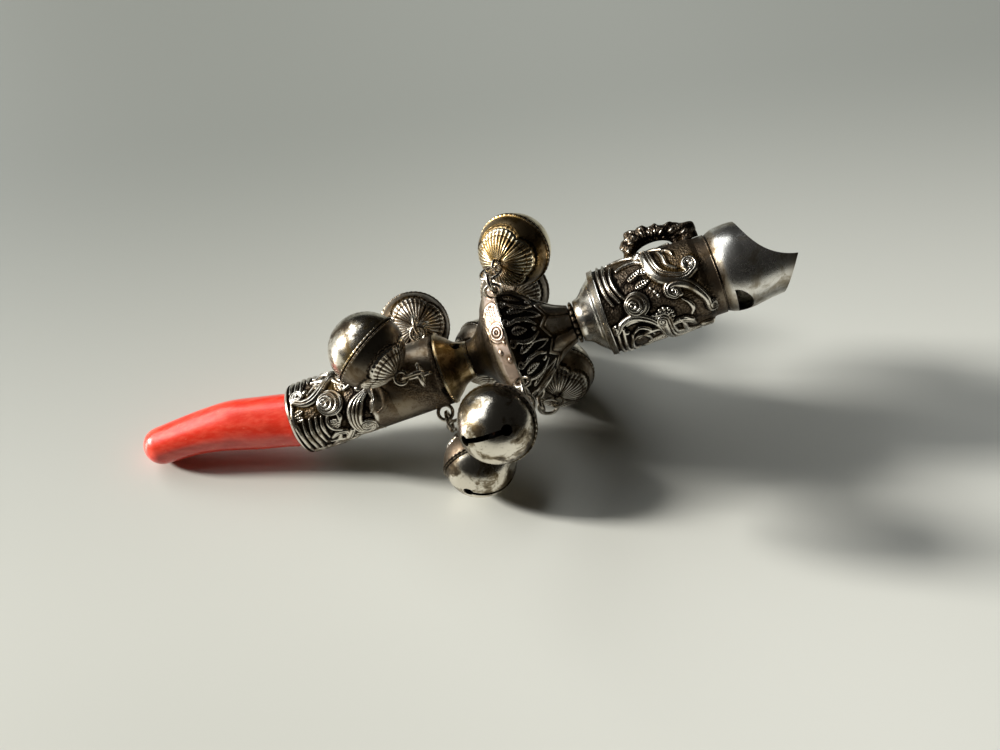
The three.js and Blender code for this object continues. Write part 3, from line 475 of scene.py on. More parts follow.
def leaf(u, v, length=4.2, width=1.0, rise=0.5, sweep=0.25):
    # a pointed leaf from the origin along +u with a sunk midrib and slanting veins
    share = u / length
    middle = sweep * length * share * (1 - share)
    half = width * np.sin(np.pi * np.clip(share, 0, 1) ** 0.75) ** 0.8 + 1e-6
    off = np.abs(v - middle) / half
    body = np.where((share > 0) & (share < 1), np.sqrt(np.clip(1 - off ** 2, 0, None)), 0)
    veins = 0.78 + 0.22 * np.cos(2 * np.pi * (share * 6 - off))
    midrib = 1 - 0.5 * np.exp(-(off * 4) ** 2)
    return rise * body * veins * midrib


def seedCluster(u, v, radius=1.9, rise=0.6, grain=0.42):
    # a ring of small balls round another, about one in the middle
    height = np.zeros(u.shape)
    for ring, count in ((0.0, 1), (0.48, 6), (0.88, 11)):
        for k in range(count):
            angle = 2 * np.pi * k / count + ring
            x, y = radius * ring * np.cos(angle), radius * ring * np.sin(angle)
            ball = np.clip(1 - ((u - x) ** 2 + (v - y) ** 2) / grain ** 2, 0, None)
            height = np.maximum(height, rise * (0.45 * (ring < 0.9) + 0.55 * np.sqrt(ball)) * (ball > 0))
    return height


def bead(u, v, radius=0.7, rise=0.55):
    # a ball's cap: as high as a circle's edge over its middle
    return rise * np.sqrt(np.clip(1 - (u ** 2 + v ** 2) / radius ** 2, 0, None))


def chase(turns, alongs, radius, motifs, strands=()):
    # the highest of all motifs at each place; a motif is its form, degrees about the axis, place along
    # it, its own turn in degrees (0 points to the whistle), whether it is mirrored, and its sizes
    height = np.zeros((len(alongs), len(turns)))
    for form, turn, along, spin, mirrored, sizes in motifs:
        across = (turns - turn + 180) % 360 - 180
        s = np.radians(across)[None, :] * radius + 0 * alongs[:, None]
        a = (alongs - along)[:, None] + 0 * turns[None, :]
        near = (np.abs(s) < 8) & (np.abs(a) < 8)
        c, d = np.cos(np.radians(spin)), np.sin(np.radians(spin))
        u, v = a[near] * c + s[near] * d, -a[near] * d + s[near] * c
        v = -v if mirrored else v
        height[near] = np.maximum(height[near], form(u, v, **sizes))
    for line, width, rise, sizes in strands:
        np.maximum(height, strand(turns, alongs, radius, line, width, rise, **sizes), out=height)
    return height


def repeated(motifs, strands, turns):
    # the same ornament again at each turn about the axis
    return ([(form, turn + more, *rest) for more in turns for form, turn, *rest in motifs],
            [([(a, t + more) for a, t in line], *rest) for more in turns for line, *rest in strands])


def softened(height, cells):
    # a Gaussian blur of that many cells
    rows, columns = np.fft.fftfreq(height.shape[0])[:, None], np.fft.fftfreq(height.shape[1])[None, :]
    blur = np.exp(-2 * (np.pi * cells) ** 2 * (rows ** 2 + columns ** 2))
    return np.real(np.fft.ifft2(np.fft.fft2(height) * blur))


def recessOf(height, cells, ground, crowding=3.0):
    # how deep a place lies: 1 in a narrow chink, ground on the low sheet, 0 on what stands proud
    top = max(height.max(), 1e-6)
    crowd = (softened(height, cells) - height) / top
    return np.clip(ground * np.clip(1 - height / top * 2.6, 0, 1) + crowding * crowd, 0, 1)


print("stage: ornament tools ready")


# The coral
coralSizes = dict(mouthRadius=5.8, shankRadius=5.5, tipRadius=4.15, reach=35.2, bend=4.75, bendTurn=173.0,
                  shankEnd=44.0, rings=110, sides=96)
# share of the way from the mouth to the tip: share of the bend, and of the taper that is left
coralShares = [(0, 0, 1), (0.06, 0.12, 0.99), (0.23, 0.39, 0.97), (0.44, 0.75, 0.87), (0.6, 0.9, 0.58),
               (0.77, 0.98, 0.29), (1, 1, 0.03)]


def coralMesh():
    # a circle carried along a smooth bend, with slow swells of a hundredth, growth ripples lengthwise, and
    # a half dome on its end
    c = coralSizes
    side = onAxis(0.0, 1.0, c["bendTurn"])
    free = c["reach"] - c["tipRadius"]
    share = np.linspace(0, 1, c["rings"])
    path = smoothLine(coralShares, 200)
    bent, taper = (np.interp(share, path[:, 0], path[:, k]) for k in (1, 2))
    centre = np.stack([at["mouth"] - share * free, 0 * share, 0 * share], -1)
    centre = centre + side * (c["bend"] * bent)[:, None]
    radius = c["tipRadius"] + (c["mouthRadius"] - c["tipRadius"]) * taper
    heading = np.gradient(centre, axis=0)
    heading /= np.linalg.norm(heading, axis=1)[:, None]
    dome = np.linspace(0, np.pi / 2, 22)[1:-1]
    centre = np.concatenate([[[c["shankEnd"], 0, 0], [at["mouth"] + 0.8, 0, 0]], centre,
                             centre[-1] + heading[-1] * (c["tipRadius"] * np.sin(dome))[:, None]])
    radius = np.concatenate([[c["shankRadius"]] * 2, radius, radius[-1] * np.cos(dome)])
    heading = np.concatenate([[[-1, 0, 0]] * 2, heading, np.tile(heading[-1], (len(dome), 1))])
    across = np.cross(heading, side)
    across /= np.linalg.norm(across, axis=1)[:, None]
    up = np.cross(across, heading)
    angle = np.arange(c["sides"]) / c["sides"] * 2 * np.pi
    along = centre[:, :1]
    swell = 1 + 0.010 * np.sin(2 * angle + 0.19 * along) + 0.008 * np.sin(3 * angle - 0.33 * along) \
        + 0.004 * np.sin(11 * angle + 0.5 * np.sin(0.21 * along))
    rows = centre[:, None] + (radius[:, None] * swell)[..., None] * (
        across[:, None] * np.cos(angle)[:, None] + up[:, None] * np.sin(angle)[:, None])
    tip = centre[c["rings"] + 1] + heading[-1] * c["tipRadius"]
    return poleMesh("coralStick", rows, [[c["shankEnd"], 0, 0], tip])


addPiece("coralStick", coralMesh(), redCoral, "rattle", "coral", "coral_stick")
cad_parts["coral_cement"].data.materials.clear()
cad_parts["coral_cement"].data.materials.append(darkPitch)
print("stage: coral ready")

# The sleeve
sleeveSizes = dict(radius=7.75, wall=0.65, lipBore=6.1, lipLength=0.9, lipDepth=1.0, groundDepth=0.44,
                   sides=420, collarRows=170)
# bands on the sleeve: points of place along the axis and degrees about it, half width, rise and the rest
sleeveStrands = [
    # the great scroll beside the collar's edge, grooved along its length, with a leafy crest
    ([(48.9, 96), (46.9, 86), (45.4, 70), (44.7, 52), (44.8, 35)], 1.75, 1.05,
     dict(grooves=(-0.45, 0.0, 0.42), curls=((0, 0), (1, 1.75)), ends=(0.35, 0.7))),
    # a leaf that laps over its foot
    ([(43.4, 22), (44.6, 12), (47.0, 6), (49.0, 8)], 0.8, 0.6, dict(grooves=(0.0,), ends=(0.4, 0.5))),
    ([(42.6, 30), (42.8, 16), (44.4, 2)], 0.5, 0.5, dict(ends=(0.4, 0.3))),
    ([(51.6, 103), (52.7, 88), (52.6, 73), (51.8, 62), (50.2, 57)], 0.75, 0.6, dict(ends=(0.2, 0.5))),
    ([(50.8, 96), (50.6, 84), (49.8, 72), (48.6, 60)], 0.6, 0.5, dict(ends=(0.3, 0.3))),
    # the volute to its left, doubled, closing round on itself
    ([(43.2, 158), (42.2, 148), (39.6, 125), (37.4, 113.5), (35.3, 112), (33.7, 118)], 1.15, 0.95,
     dict(grooves=(0.0,), curls=((0, 0), (-1, 1.35)), ends=(0.6, 0.7))),
    ([(41.0, 166), (39.8, 150), (38.1, 134), (36.6, 124)], 0.6, 0.55, dict(ends=(0.3, 0.3))),
    ([(45.6, 143), (46.6, 130), (46.4, 118), (45.0, 112)], 0.7, 0.55,
     dict(ends=(0.2, 0.4), curls=((0, 0), (-1, 0.7)))),
    # ribs about the sleeve between the eyes
    ([(32.9, 119), (32.5, 95), (32.6, 60), (32.8, 18)], 0.5, 0.7, dict(ends=(0.8, 0.7))),
    ([(34.3, 86), (33.9, 64), (34.1, 36), (33.9, 14)], 0.5, 0.7, dict(ends=(0.5, 0.6))),
    ([(35.7, 84), (35.2, 62), (35.4, 36), (35.2, 16)], 0.56, 0.8, dict(ends=(0.4, 0.6))),
    ([(37.1, 83), (36.5, 60), (36.7, 32)], 0.52, 0.75, dict(ends=(0.4, 0.4))),
    ([(38.3, 82), (37.7, 64), (37.9, 40)], 0.46, 0.65, dict(ends=(0.4, 0.4))),
    ([(39.6, 80), (39.1, 68), (39.6, 55), (41.2, 48)], 0.55, 0.7, dict(ends=(0.4, 0.6))),
    # lobed leaves above them
    ([(38.4, 36), (40.2, 43), (41.6, 40), (41.8, 29)], 0.85, 0.8, dict(grooves=(0.0,), ends=(0.4, 0.5))),
    ([(37.6, 28), (39.6, 25), (40.8, 18), (40.2, 9)], 0.75, 0.75,
     dict(curls=((0, 0), (-1, 0.8)), ends=(0.3, 0.7))),
    ([(41.4, 60), (42.0, 72), (41.6, 80)], 0.6, 0.5, dict(ends=(0.3, 0.4))),
]
sleeveMotifs = [
    # form, turn, along, spin, mirrored, sizes
    (snail, 98, 41.0, 0, False, dict(radius=2.95, rise=1.1, rings=4.2, offset=(-1.5, 0.2))),
    (bead, 106, 47.9, 0, False, dict(radius=0.95, rise=0.8)),
    (bead, 131, 36.2, 0, False, dict(radius=0.7, rise=0.7)),
    (bead, 29, 47.4, 0, False, dict(radius=0.7, rise=0.7)),
    (leaf, 110, 44.0, 100, False, dict(length=3.8, width=0.8)),
    (leaf, 122, 44.4, 60, True, dict(length=3.6, width=0.75)),
    (leaf, 88, 34.6, 168, False, dict(length=3.0, width=0.75)),
    (leaf, 100, 34.9, 196, True, dict(length=3.0, width=0.75)),
    (leaf, 74, 46.0, 60, False, dict(length=2.8, width=0.6)),
    (seedCluster, 62, 40.4, 0, False, dict(radius=1.1, rise=0.45, grain=0.32)),
]
sleeveMotifs, sleeveStrands = repeated(sleeveMotifs, sleeveStrands, (0, 120, 240))


def sleeveMesh():
    # a tube whose outside carries the chased collar; the collar's edge swings between its scrolls
    c = sleeveSizes
    turns = roundTurns(c["sides"])
    collarStart = at["mouth"] + c["lipLength"] + 0.05
    collar = np.linspace(collarStart, at["collarEnd"] + 4.2, c["collarRows"])
    height = chase(turns, collar, c["radius"], sleeveMotifs, sleeveStrands)
    edge = at["collarEnd"] + 0.6 - 1.7 * np.abs(np.sin(np.radians(1.5 * (turns - 82)))) ** 0.8 \
        + 0.35 * np.sin(np.radians(9 * turns))
    gap = edge[None, :] - collar[:, None]
    rim = 0.4 * np.exp(-(gap / 0.4) ** 2)
    mask = np.clip(gap / 0.3 + 1, 0, 1)
    ground = recessOf(np.maximum(height, rim * mask), 3.2, 0.62) * np.clip(gap / 0.4 + 0.6, 0, 1)
    recess = np.maximum(ground, np.clip(2.4 * (softened(height, 2.2) - height), 0, 1))
    # the ground is driven in a little, so that the scrolls stand about as high as the solids have them
    height = 0.9 * np.maximum(height, rim) * np.maximum(mask, height > 0.1) \
        - c["groundDepth"] * mask * np.clip((collar[:, None] - collarStart) / 0.3, 0, 1)
    lipWave = 0.2 * np.sin(np.radians(7 * turns)) + 0.12 * np.sin(np.radians(3 * turns + 60))
    rows, values = [], []
    inside = c["radius"] - c["wall"]
    plain = np.linspace(at["collarEnd"] + 4.4, at["sleeveEnd"], 26)
    for along in (at["mouth"] + 0.8, at["mouth"]):
        rows.append(onAxis(along, c["lipBore"], turns))
        values.append(0 * turns + 0.3)
    # a quarter round, bright where the child's mouth has rubbed it
    for bend in np.linspace(0, np.pi / 2, 10)[:-1]:
        lipRadius = c["radius"] - c["lipDepth"] * (1 - np.sin(bend)) - 0.12
        rows.append(onAxis(at["mouth"] + c["lipLength"] * (1 - np.cos(bend)),
                           lipRadius + 0.4 * lipWave * np.cos(bend), turns))
        values.append(0 * turns)
    for k, along in enumerate(collar):
        rows.append(onAxis(along, c["radius"] + height[k], turns))
        # past the collar's edge the plain metal takes a level of 0.42: tarnish with a painted dark
        # reflection, as on the plain zone
        values.append(np.maximum(recess[k], 0.42 * np.clip(-gap[k] / 0.6 - 0.5, 0, 1)))
    # the plain zone: the level called wear here is tarnish with a painted dark reflection, as if it mirrored
    # a dim room, in a slow wave about the sleeve; darker still at its end by the disc
    for along in plain:
        rows.append(onAxis(along, c["radius"], turns))
        wear = 0.42 + 0.1 * np.sin(np.radians(2 * turns) + 0.4 * along)
        values.append(wear + 0.3 * (along > at["sleeveEnd"] - 0.6))
    for along in (at["sleeveEnd"], at["mouth"] + 0.8):
        rows.append(onAxis(along, inside, turns))
        values.append(0 * turns + 0.6)
    return loopMesh("sleeveTube", np.array(rows), np.array(values))


addPiece("sleeveTube", sleeveMesh(), chasedSilver, "rattle", "polished_silver", "sleeve")

# Wire rings
ringSizes = dict(wire=0.4, linkRadius=2.2, eyeRadius=1.6, eyeLift=1.2, stapleRadius=1.3, stapleWire=0.35,
                 clearance=0.2, poleGap=0.9, bellRadius=8.2)
ringBite = ringSizes["linkRadius"] - 2 * ringSizes["wire"] - ringSizes["clearance"]
linkPitch = ringBite + ringSizes["linkRadius"]
stapleBite = ringSizes["stapleRadius"] - ringSizes["stapleWire"] - ringSizes["wire"] - ringSizes["clearance"]
bellReach = stapleBite + ringSizes["poleGap"] + ringSizes["bellRadius"]


def ringPoints(radius, wire, centre, plane, steps=56, sides=14, seed=0):
    # a wire bent to a ring: a circle carried round a circle that is up to two hundredths out of true
    big, small = np.arange(steps) / steps * 2 * np.pi, np.arange(sides) / sides * 2 * np.pi
    true = radius * (1 + 0.012 * np.sin(2 * big + seed) + 0.008 * np.sin(3 * big + 2.3 * seed))
    reach = true[:, None] + wire * np.cos(small)[None, :]
    flat = np.stack([reach * np.cos(big)[:, None], reach * np.sin(big)[:, None],
                     wire * np.sin(small)[None, :] + 0 * reach], -1)
    if plane == "YZ":
        flat = flat[..., [2, 1, 0]] * np.array([1, 1, -1])
    return flat + np.array(centre)


def placedBy(matrix):
    # places a piece's own points on the rattle and then in the row frame
    return lambda points: toRow(points, matrix)


def ringMesh(name, points, matrix):
    # a wire ring, evenly and lightly soiled
    return loopMesh(name, points, np.full(points.shape[:2], 0.12), placedBy(matrix))


def turnX(angle):
    # a matrix that turns about the first axis
    c, s = np.cos(angle), np.sin(angle)
    return np.array([[1, 0, 0, 0], [0, c, -s, 0], [0, s, c, 0], [0, 0, 0, 1.0]])


def turnZ(angle):
    # a matrix that turns about the third axis
    c, s = np.cos(angle), np.sin(angle)
    return np.array([[c, -s, 0, 0], [s, c, 0, 0], [0, 0, 1, 0], [0, 0, 0, 1.0]])


def shift(x, y, z):
    # a matrix that moves without turning
    matrix = np.eye(4)
    matrix[:3, 3] = x, y, z
    return matrix


# The bells: their radius is a little under the solids', so that none cuts the body where its swing ends
bellSizes = dict(radius=7.93, wall=0.42, flange=0.38, sunk=0.34, seamGap=0.3, seam=0.35, slitWidth=1.1,
                 slitHole=1.15, slitTurn=36.0, mills=48, sides=192, rows=64)
# each bell's place along the axis, the radius of the wall there, the eye's turn about the axis, and how far
# its two links and itself are swung at rest, in degrees
bellPlaces = {
    "ridge_bell_1": (at["ridge"], 12.95, 55, (66, -90, -72)),
    "ridge_bell_2": (at["ridge"], 12.95, 145, (-90, 29, -14)),
    "ridge_bell_3": (at["ridge"], 12.95, 235, (-24, 4, 1)),
    "ridge_bell_4": (at["ridge"], 12.95, 325, (7, 90, 79)),
    "sleeve_bell_1": (at["sleeveEnd"] - 2.7, 7.8, 0, (62, 66, -86)),
    "sleeve_bell_2": (at["sleeveEnd"] - 2.7, 7.8, 90, (-7, -80, -57)),
    "sleeve_bell_3": (at["sleeveEnd"] - 2.7, 7.8, 180, (-87, -15, 1)),
    "sleeve_bell_4": (at["sleeveEnd"] - 2.7, 7.8, 270, (-28, 65, 34)),
}


def hemisphere(sign, relief):
    # half a ball from its pole to the seam's milled flange and back inside, and a pole at each end
    c = bellSizes
    rim = c["seamGap"] / 2 + c["seam"]
    inner = c["radius"] - c["wall"]
    down = np.linspace(0, np.arccos(rim / c["radius"]), c["rows"] + 1)[1:]
    sweep = np.arange(c["sides"]) / c["sides"] * 2 * np.pi
    height, recess = relief(down[:, None], sweep[None, :])
    r = c["radius"] + height
    radii = [r * np.sin(down)[:, None]]
    heights = [r * np.cos(down)[:, None]]
    milled = 0.09 * (0.5 - 0.5 * np.cos(c["mills"] * sweep))[None, :]
    edge, seam = c["radius"] + c["flange"] - milled, c["seamGap"] / 2
    for radius, level in ((edge - 0.08, rim), (edge, rim - 0.1), (edge, seam), (inner + 0 * milled, seam)):
        radii.append(radius)
        heights.append(np.full((1, c["sides"]), level))
    back = np.linspace(np.arccos(c["seamGap"] / 2 / inner), 0, 14)[1:-1]
    radii.append(inner * np.sin(back)[:, None] + 0 * sweep)
    heights.append(inner * np.cos(back)[:, None] + 0 * sweep)
    radii, heights = np.concatenate(radii), np.concatenate(heights)
    rows = np.stack([radii * np.cos(sweep), sign * heights, radii * np.sin(sweep)], -1)
    values = np.concatenate([recess + 0 * r, 6 * milled + [[0], [0], [0.4], [0.8]],
                             np.full((len(back), c["sides"]), 0.8)])
    poles = np.array([[0, sign * (c["radius"] + height[0].mean()), 0], [0, sign * inner, 0]])
    return rows, values, poles


def shellRelief(down, turn):
    # four fanned shells that meet at the pole, each with ribs and a lobed bright edge, sunk lines between
    # them, and a plain band down to the seam
    lobes, ribs = 4, 36
    lobe = np.abs(np.cos(lobes * turn / 2))
    rib = np.abs(np.cos(ribs * turn / 2))
    rim = np.radians(45) + np.radians(11) * lobe ** 0.6 + np.radians(1.6) * rib
    share = down / rim
    inside = np.clip((1 - share) / 0.05, 0, 1)
    border = np.exp(-(np.clip(down, 0.05, None) * np.arcsin(lobe) * 2 / lobes / 0.035) ** 2)
    edge = np.exp(-((share - 0.99) / 0.035) ** 2)
    second = np.exp(-((share - 0.8) / 0.02) ** 2)
    ribbed = 0.08 + 0.24 * rib ** 0.8 * np.clip(share * 1.6, 0.25, 1) - 0.12 * second
    height = inside * ribbed + 0.24 * edge - 0.1 * border * inside \
        - bellSizes["sunk"] * np.clip((1.16 - share) / 0.12, 0, 1)
    recess = inside * (0.8 - 0.85 * rib ** 0.7 + 0.5 * second + 0.6 * border) - 0.9 * edge \
        + np.exp(-((share - 1.1) / 0.05) ** 2) * 0.7 + 0.34 * np.clip((share - 1.05) / 0.1, 0, 1)
    return height, np.clip(recess * np.clip(down / 0.12, 0.4, 1), 0, 1)


def plainRelief(down, turn):
    # a spun half, faintly dented by use
    dents = 0.03 * np.sin(3 * turn + 2 * np.sin(2.2 * down)) * np.sin(2.6 * down)
    return dents * np.sin(down), 0 * turn + 0.3 * np.clip((down - 1.35) * 6, 0, 1)


crownHalf = hemisphere(-1, shellRelief)
bowlHalf = hemisphere(1, plainRelief)


def drill(name, radius, low, high, matrix):
    # a rod along the second axis of a frame that matrix places, still in millimetres
    turn = np.arange(32) / 32 * 2 * np.pi
    level = np.array([low, high])[:, None]
    across, up = radius * np.cos(turn) + 0 * level, radius * np.sin(turn) + 0 * level
    rows = np.stack([across, level + 0 * turn, up], -1)
    spin = lambda points: points @ matrix[:3, :3].T + matrix[:3, 3]
    return looseObject(name, poleMesh(name, rows, [[0, low, 0], [0, high, 0]], place=spin))


def slitBowl():
    # the plain half with its slit between two round holes, cut once and then copied for each bell
    c = bellSizes
    rows, values, poles = bowlHalf
    bowl = looseObject("bowlBlank", poleMesh("bowlBlank", rows, poles, values, asDrawn))
    half = c["radius"] * np.sin(np.radians(c["slitTurn"]))
    # a box from 4 mm above the bell's middle to 14 mm, clear of its wall
    corners = np.array([[x, y, z] for x in (-1, 1) for y in (0, 1) for z in (-1, 1)], float)
    corners *= [c["slitWidth"] / 2, 10, half]
    corners[:, 1] += 4
    box = np.array([[0, 1, 3, 2], [4, 6, 7, 5], [0, 4, 5, 1], [2, 3, 7, 6], [0, 2, 6, 4], [1, 5, 7, 3]])
    cutters = [looseObject("slitCutter", makeMesh("slitCutter", corners, box))]
    for sign in (-1, 1):
        tilt = turnX(sign * np.radians(c["slitTurn"]))
        cutters.append(drill("holeCutter", c["slitHole"], 3.0, 12.0, tilt))
    applyCut(bowl, cutters)
    return bowl


slitBlank = slitBowl()
slitBlank.data.set_sharp_from_angle(angle=np.radians(40))


def placedCopy(name, blank, matrix):
    # a copy of a mesh drawn in a piece's own millimetres, placed on the rattle
    mesh = blank.data.copy()
    mesh.name = name
    spots = np.zeros(len(mesh.vertices) * 3, np.float32)
    mesh.vertices.foreach_get("co", spots)
    mesh.vertices.foreach_set("co", toRow(spots.reshape(-1, 3), matrix).astype(np.float32).ravel())
    mesh.update()
    return mesh


pelletSizes = dict(radius=1.92, dent=0.03, rows=12, sides=20)


def pelletMesh(name, node):
    # a forged ball with slow dents, where the solids have it
    c = pelletSizes
    low, high = (np.array(corner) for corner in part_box(node))
    down = np.linspace(0, np.pi, c["rows"] + 2)[1:-1]
    turn = np.arange(c["sides"]) / c["sides"] * 2 * np.pi
    r = c["radius"] * mm * (1 + c["dent"] * np.sin(3 * turn + 5 * down[:, None]))
    across = r * np.sin(down)[:, None]
    middle = (low + high) / 2
    rows = np.stack([across * np.cos(turn), across * np.sin(turn), r * np.cos(down)[:, None] + 0 * turn], -1)
    pole = np.array([0, 0, c["radius"] * mm])
    return poleMesh(name, rows + middle, [middle + pole, middle - pole], place=asDrawn)


# each bell hangs from its eye by two links: every ring starts where the wire of the one before stops it
for number, (name, (station, wall, turn, turns)) in enumerate(bellPlaces.items()):
    eye = shift(station, 0, 0) @ turnX(float(around(turn)))
    eyeMiddle = wall + ringSizes["eyeLift"]
    first = eye @ shift(0, eyeMiddle + ringSizes["eyeRadius"], 0) @ turnX(np.radians(turns[0]))
    second = first @ shift(0, linkPitch, 0) @ turnZ(-np.radians(turns[1]))
    third = second @ shift(0, linkPitch, 0) @ turnX(np.radians(turns[2]))
    bell = third @ shift(0, bellReach, 0)
    eyePoints = ringPoints(ringSizes["eyeRadius"], ringSizes["wire"], (0, eyeMiddle, 0), "XY", seed=number)
    addPiece(name + "_eye", ringMesh(name + "_eye", eyePoints, eye), wireSilver, "rattle", "oxidised_silver")
    link = ringPoints(ringSizes["linkRadius"], ringSizes["wire"], (0, ringBite, 0), "YZ", seed=number + 3)
    addPiece(name + "_inner_ring", ringMesh(name + "_inner_ring", link, first), wireSilver,
             name + "_link_inner", "oxidised_silver", name + "_link_inner")
    link = ringPoints(ringSizes["linkRadius"], ringSizes["wire"], (0, ringBite, 0), "XY", seed=number + 5)
    addPiece(name + "_outer_ring", ringMesh(name + "_outer_ring", link, second), wireSilver,
             name + "_link_outer", "oxidised_silver", name + "_link_outer")
    gilded = name == "ridge_bell_2"
    rows, values, poles = crownHalf
    addPiece(name + "_shell_half", poleMesh(name + "_shell_half", rows, poles, values, placedBy(bell)),
             goldenSilver if gilded else chasedSilver, name, "oxidised_silver", name + "_crown")
    staple = ringPoints(ringSizes["stapleRadius"], ringSizes["stapleWire"],
                        (0, -ringSizes["bellRadius"] - ringSizes["poleGap"], 0), "YZ", seed=number)
    addPiece(name + "_ring", ringMesh(name + "_ring", staple, bell), wireSilver, name, "oxidised_silver")
    addPiece(name + "_slit_half", placedCopy(name + "_slit_half", slitBlank, bell),
             goldenSilver if gilded else spunSilver, name, "polished_silver", name + "_bowl")
    addPiece(name + "_pea", pelletMesh(name + "_pea", name + "_pellet"), forgedIron,
             name + "_pellet", "iron", name + "_pellet")
bpy.data.objects.remove(slitBlank)
print("stage: bells ready")

# End cap, flare and shoulder
capSizes = dict(disc=0.6, discRadius=7.9, spigotRadius=6.8, spigot=2.2, waistRadius=4.0, wall=0.7, vent=1.1,
                ventAt=69.684, ventTurn=145.0, sides=128)


def capOutline():
    # the disc, a narrowing wall to the waist, and the same wall back inside
    c = capSizes
    shares = [(0, 1), (0.24, 0.68), (0.56, 0.22), (1, 0)]
    start = at["disc"] + c["disc"]
    rise = c["spigotRadius"] - c["waistRadius"] + c["wall"]
    points = [(start + s * (at["waist"] - start), c["waistRadius"] + t * rise) for s, t in shares]
    wall = smoothLine(points, 40)
    inner = (wall - [0, c["wall"]])[::-1]
    edge = [(at["disc"], c["discRadius"] - 0.12), (at["disc"] + 0.1, c["discRadius"]),
            (start - 0.1, c["discRadius"]), (start, c["discRadius"] - 0.1)]
    head = [(at["disc"] - c["spigot"], c["spigotRadius"]), (at["disc"], c["spigotRadius"])]
    tail = [(at["disc"] - c["spigot"], c["spigotRadius"] - c["wall"])]
    return np.array(head + edge + list(wall) + list(inner) + tail)


def settled(blank, matrix, sharp=38, soil=None):
    # a cut blank's mesh, placed on the rattle, with its grime by place; the blank goes
    blank.data.set_sharp_from_angle(angle=np.radians(sharp))
    mesh = placedCopy(blank.name, blank, matrix)
    if soil:
        spots = np.zeros(len(mesh.vertices) * 3, np.float32)
        blank.data.vertices.foreach_get("co", spots)
        mesh.attributes.new("recess", "FLOAT", "POINT").data.foreach_set(
            "value", soil(spots.reshape(-1, 3)).astype(np.float32))
    bpy.data.objects.remove(blank)
    return mesh


capLine = capOutline()
# dirtier on the narrowing wall than on the disc
capNarrow = (capLine[:, 0] > at["disc"] + 0.62) & (capLine[:, 1] > 4.2)
capRecess = np.where(capNarrow, 0.35, 0.15)[:, None] + np.zeros(capSizes["sides"])
endCap = looseObject("endCap", loopMesh("endCap", turned(capLine, capSizes["sides"]), capRecess, asDrawn))
ventPlace = shift(capSizes["ventAt"], 0, 0) @ turnX(float(around(capSizes["ventTurn"])))
applyCut(endCap, [drill("ventCutter", capSizes["vent"], 3.6, 12.0, ventPlace)])
addPiece("endCap", settled(endCap, np.eye(4)), goldenSilver, "rattle",
         "golden_tarnish_silver", "sleeve_end_cap")

# the tarnish, which towards the waist is also a painted shadow, and the pink bloom are given as places along
# the axis and how much there
flareSizes = dict(waistRadius=4.0, rimRadius=12.2, ridgeRadius=12.79, wall=0.7, spigotRadius=3.0,
                  spigotBore=2.3, spigot=2.2, ornamentRadius=10.6, sides=380, rows=72, ridgeRows=25,
                  tarnish=([72, 76.5, 78.2, 79.3], [0.86, 0.8, 0.5, 0.0]), pink=([78.3, 79.5], [0.1, 0.5]))


def target(u, v, radius=2.3, rise=0.8, rings=3):
    # a knob within rings about one middle, dished between them
    gap = np.hypot(u, v) / radius
    rim = 0.5 - 0.5 * np.cos(2 * np.pi * np.clip(gap, 0, 1) * rings + np.pi)
    dished = rise * (0.25 + 0.75 * rim) * (1.1 - 0.35 * gap) * np.clip((1 - gap) / 0.08, 0, 1)
    return np.where(gap < 1, dished, 0)


flareMotifs = [(target, 104, 80.2, 0, False, dict(radius=1.9, rise=0.42)),
               (bead, 85, 79.6, 0, False, dict(radius=0.42, rise=0.35)),
               (bead, 76, 80.9, 0, False, dict(radius=0.42, rise=0.35)),
               (bead, 93, 81.0, 0, False, dict(radius=0.3, rise=0.25))]
# punched dots in a field beside each boss
flareMotifs += [(bead, 118 + 3.4 * (k % 5) + 1.7 * (k // 5 % 2), 79.2 + 0.5 * (k // 5), 0, False,
                 dict(radius=0.24, rise=0.16)) for k in range(20)]
flareMotifs, flareStrands = repeated(flareMotifs, [
    ([(78.4, 126), (79.2, 134), (80.6, 137), (81.4, 132)], 0.4, 0.3, dict(ends=(0.3, 0.3))),
    ([(78.0, 92), (78.4, 104), (78.1, 116)], 0.3, 0.22, dict(ends=(0.2, 0.2)))], (0, 90, 180, 270))


def alongWall(motifs, strands, place):
    # the same ornament with each place along the axis turned into a length along the wall
    return ([(form, turn, place(along), *rest) for form, turn, along, *rest in motifs],
            [([(place(a), t) for a, t in line], *rest) for line, *rest in strands])


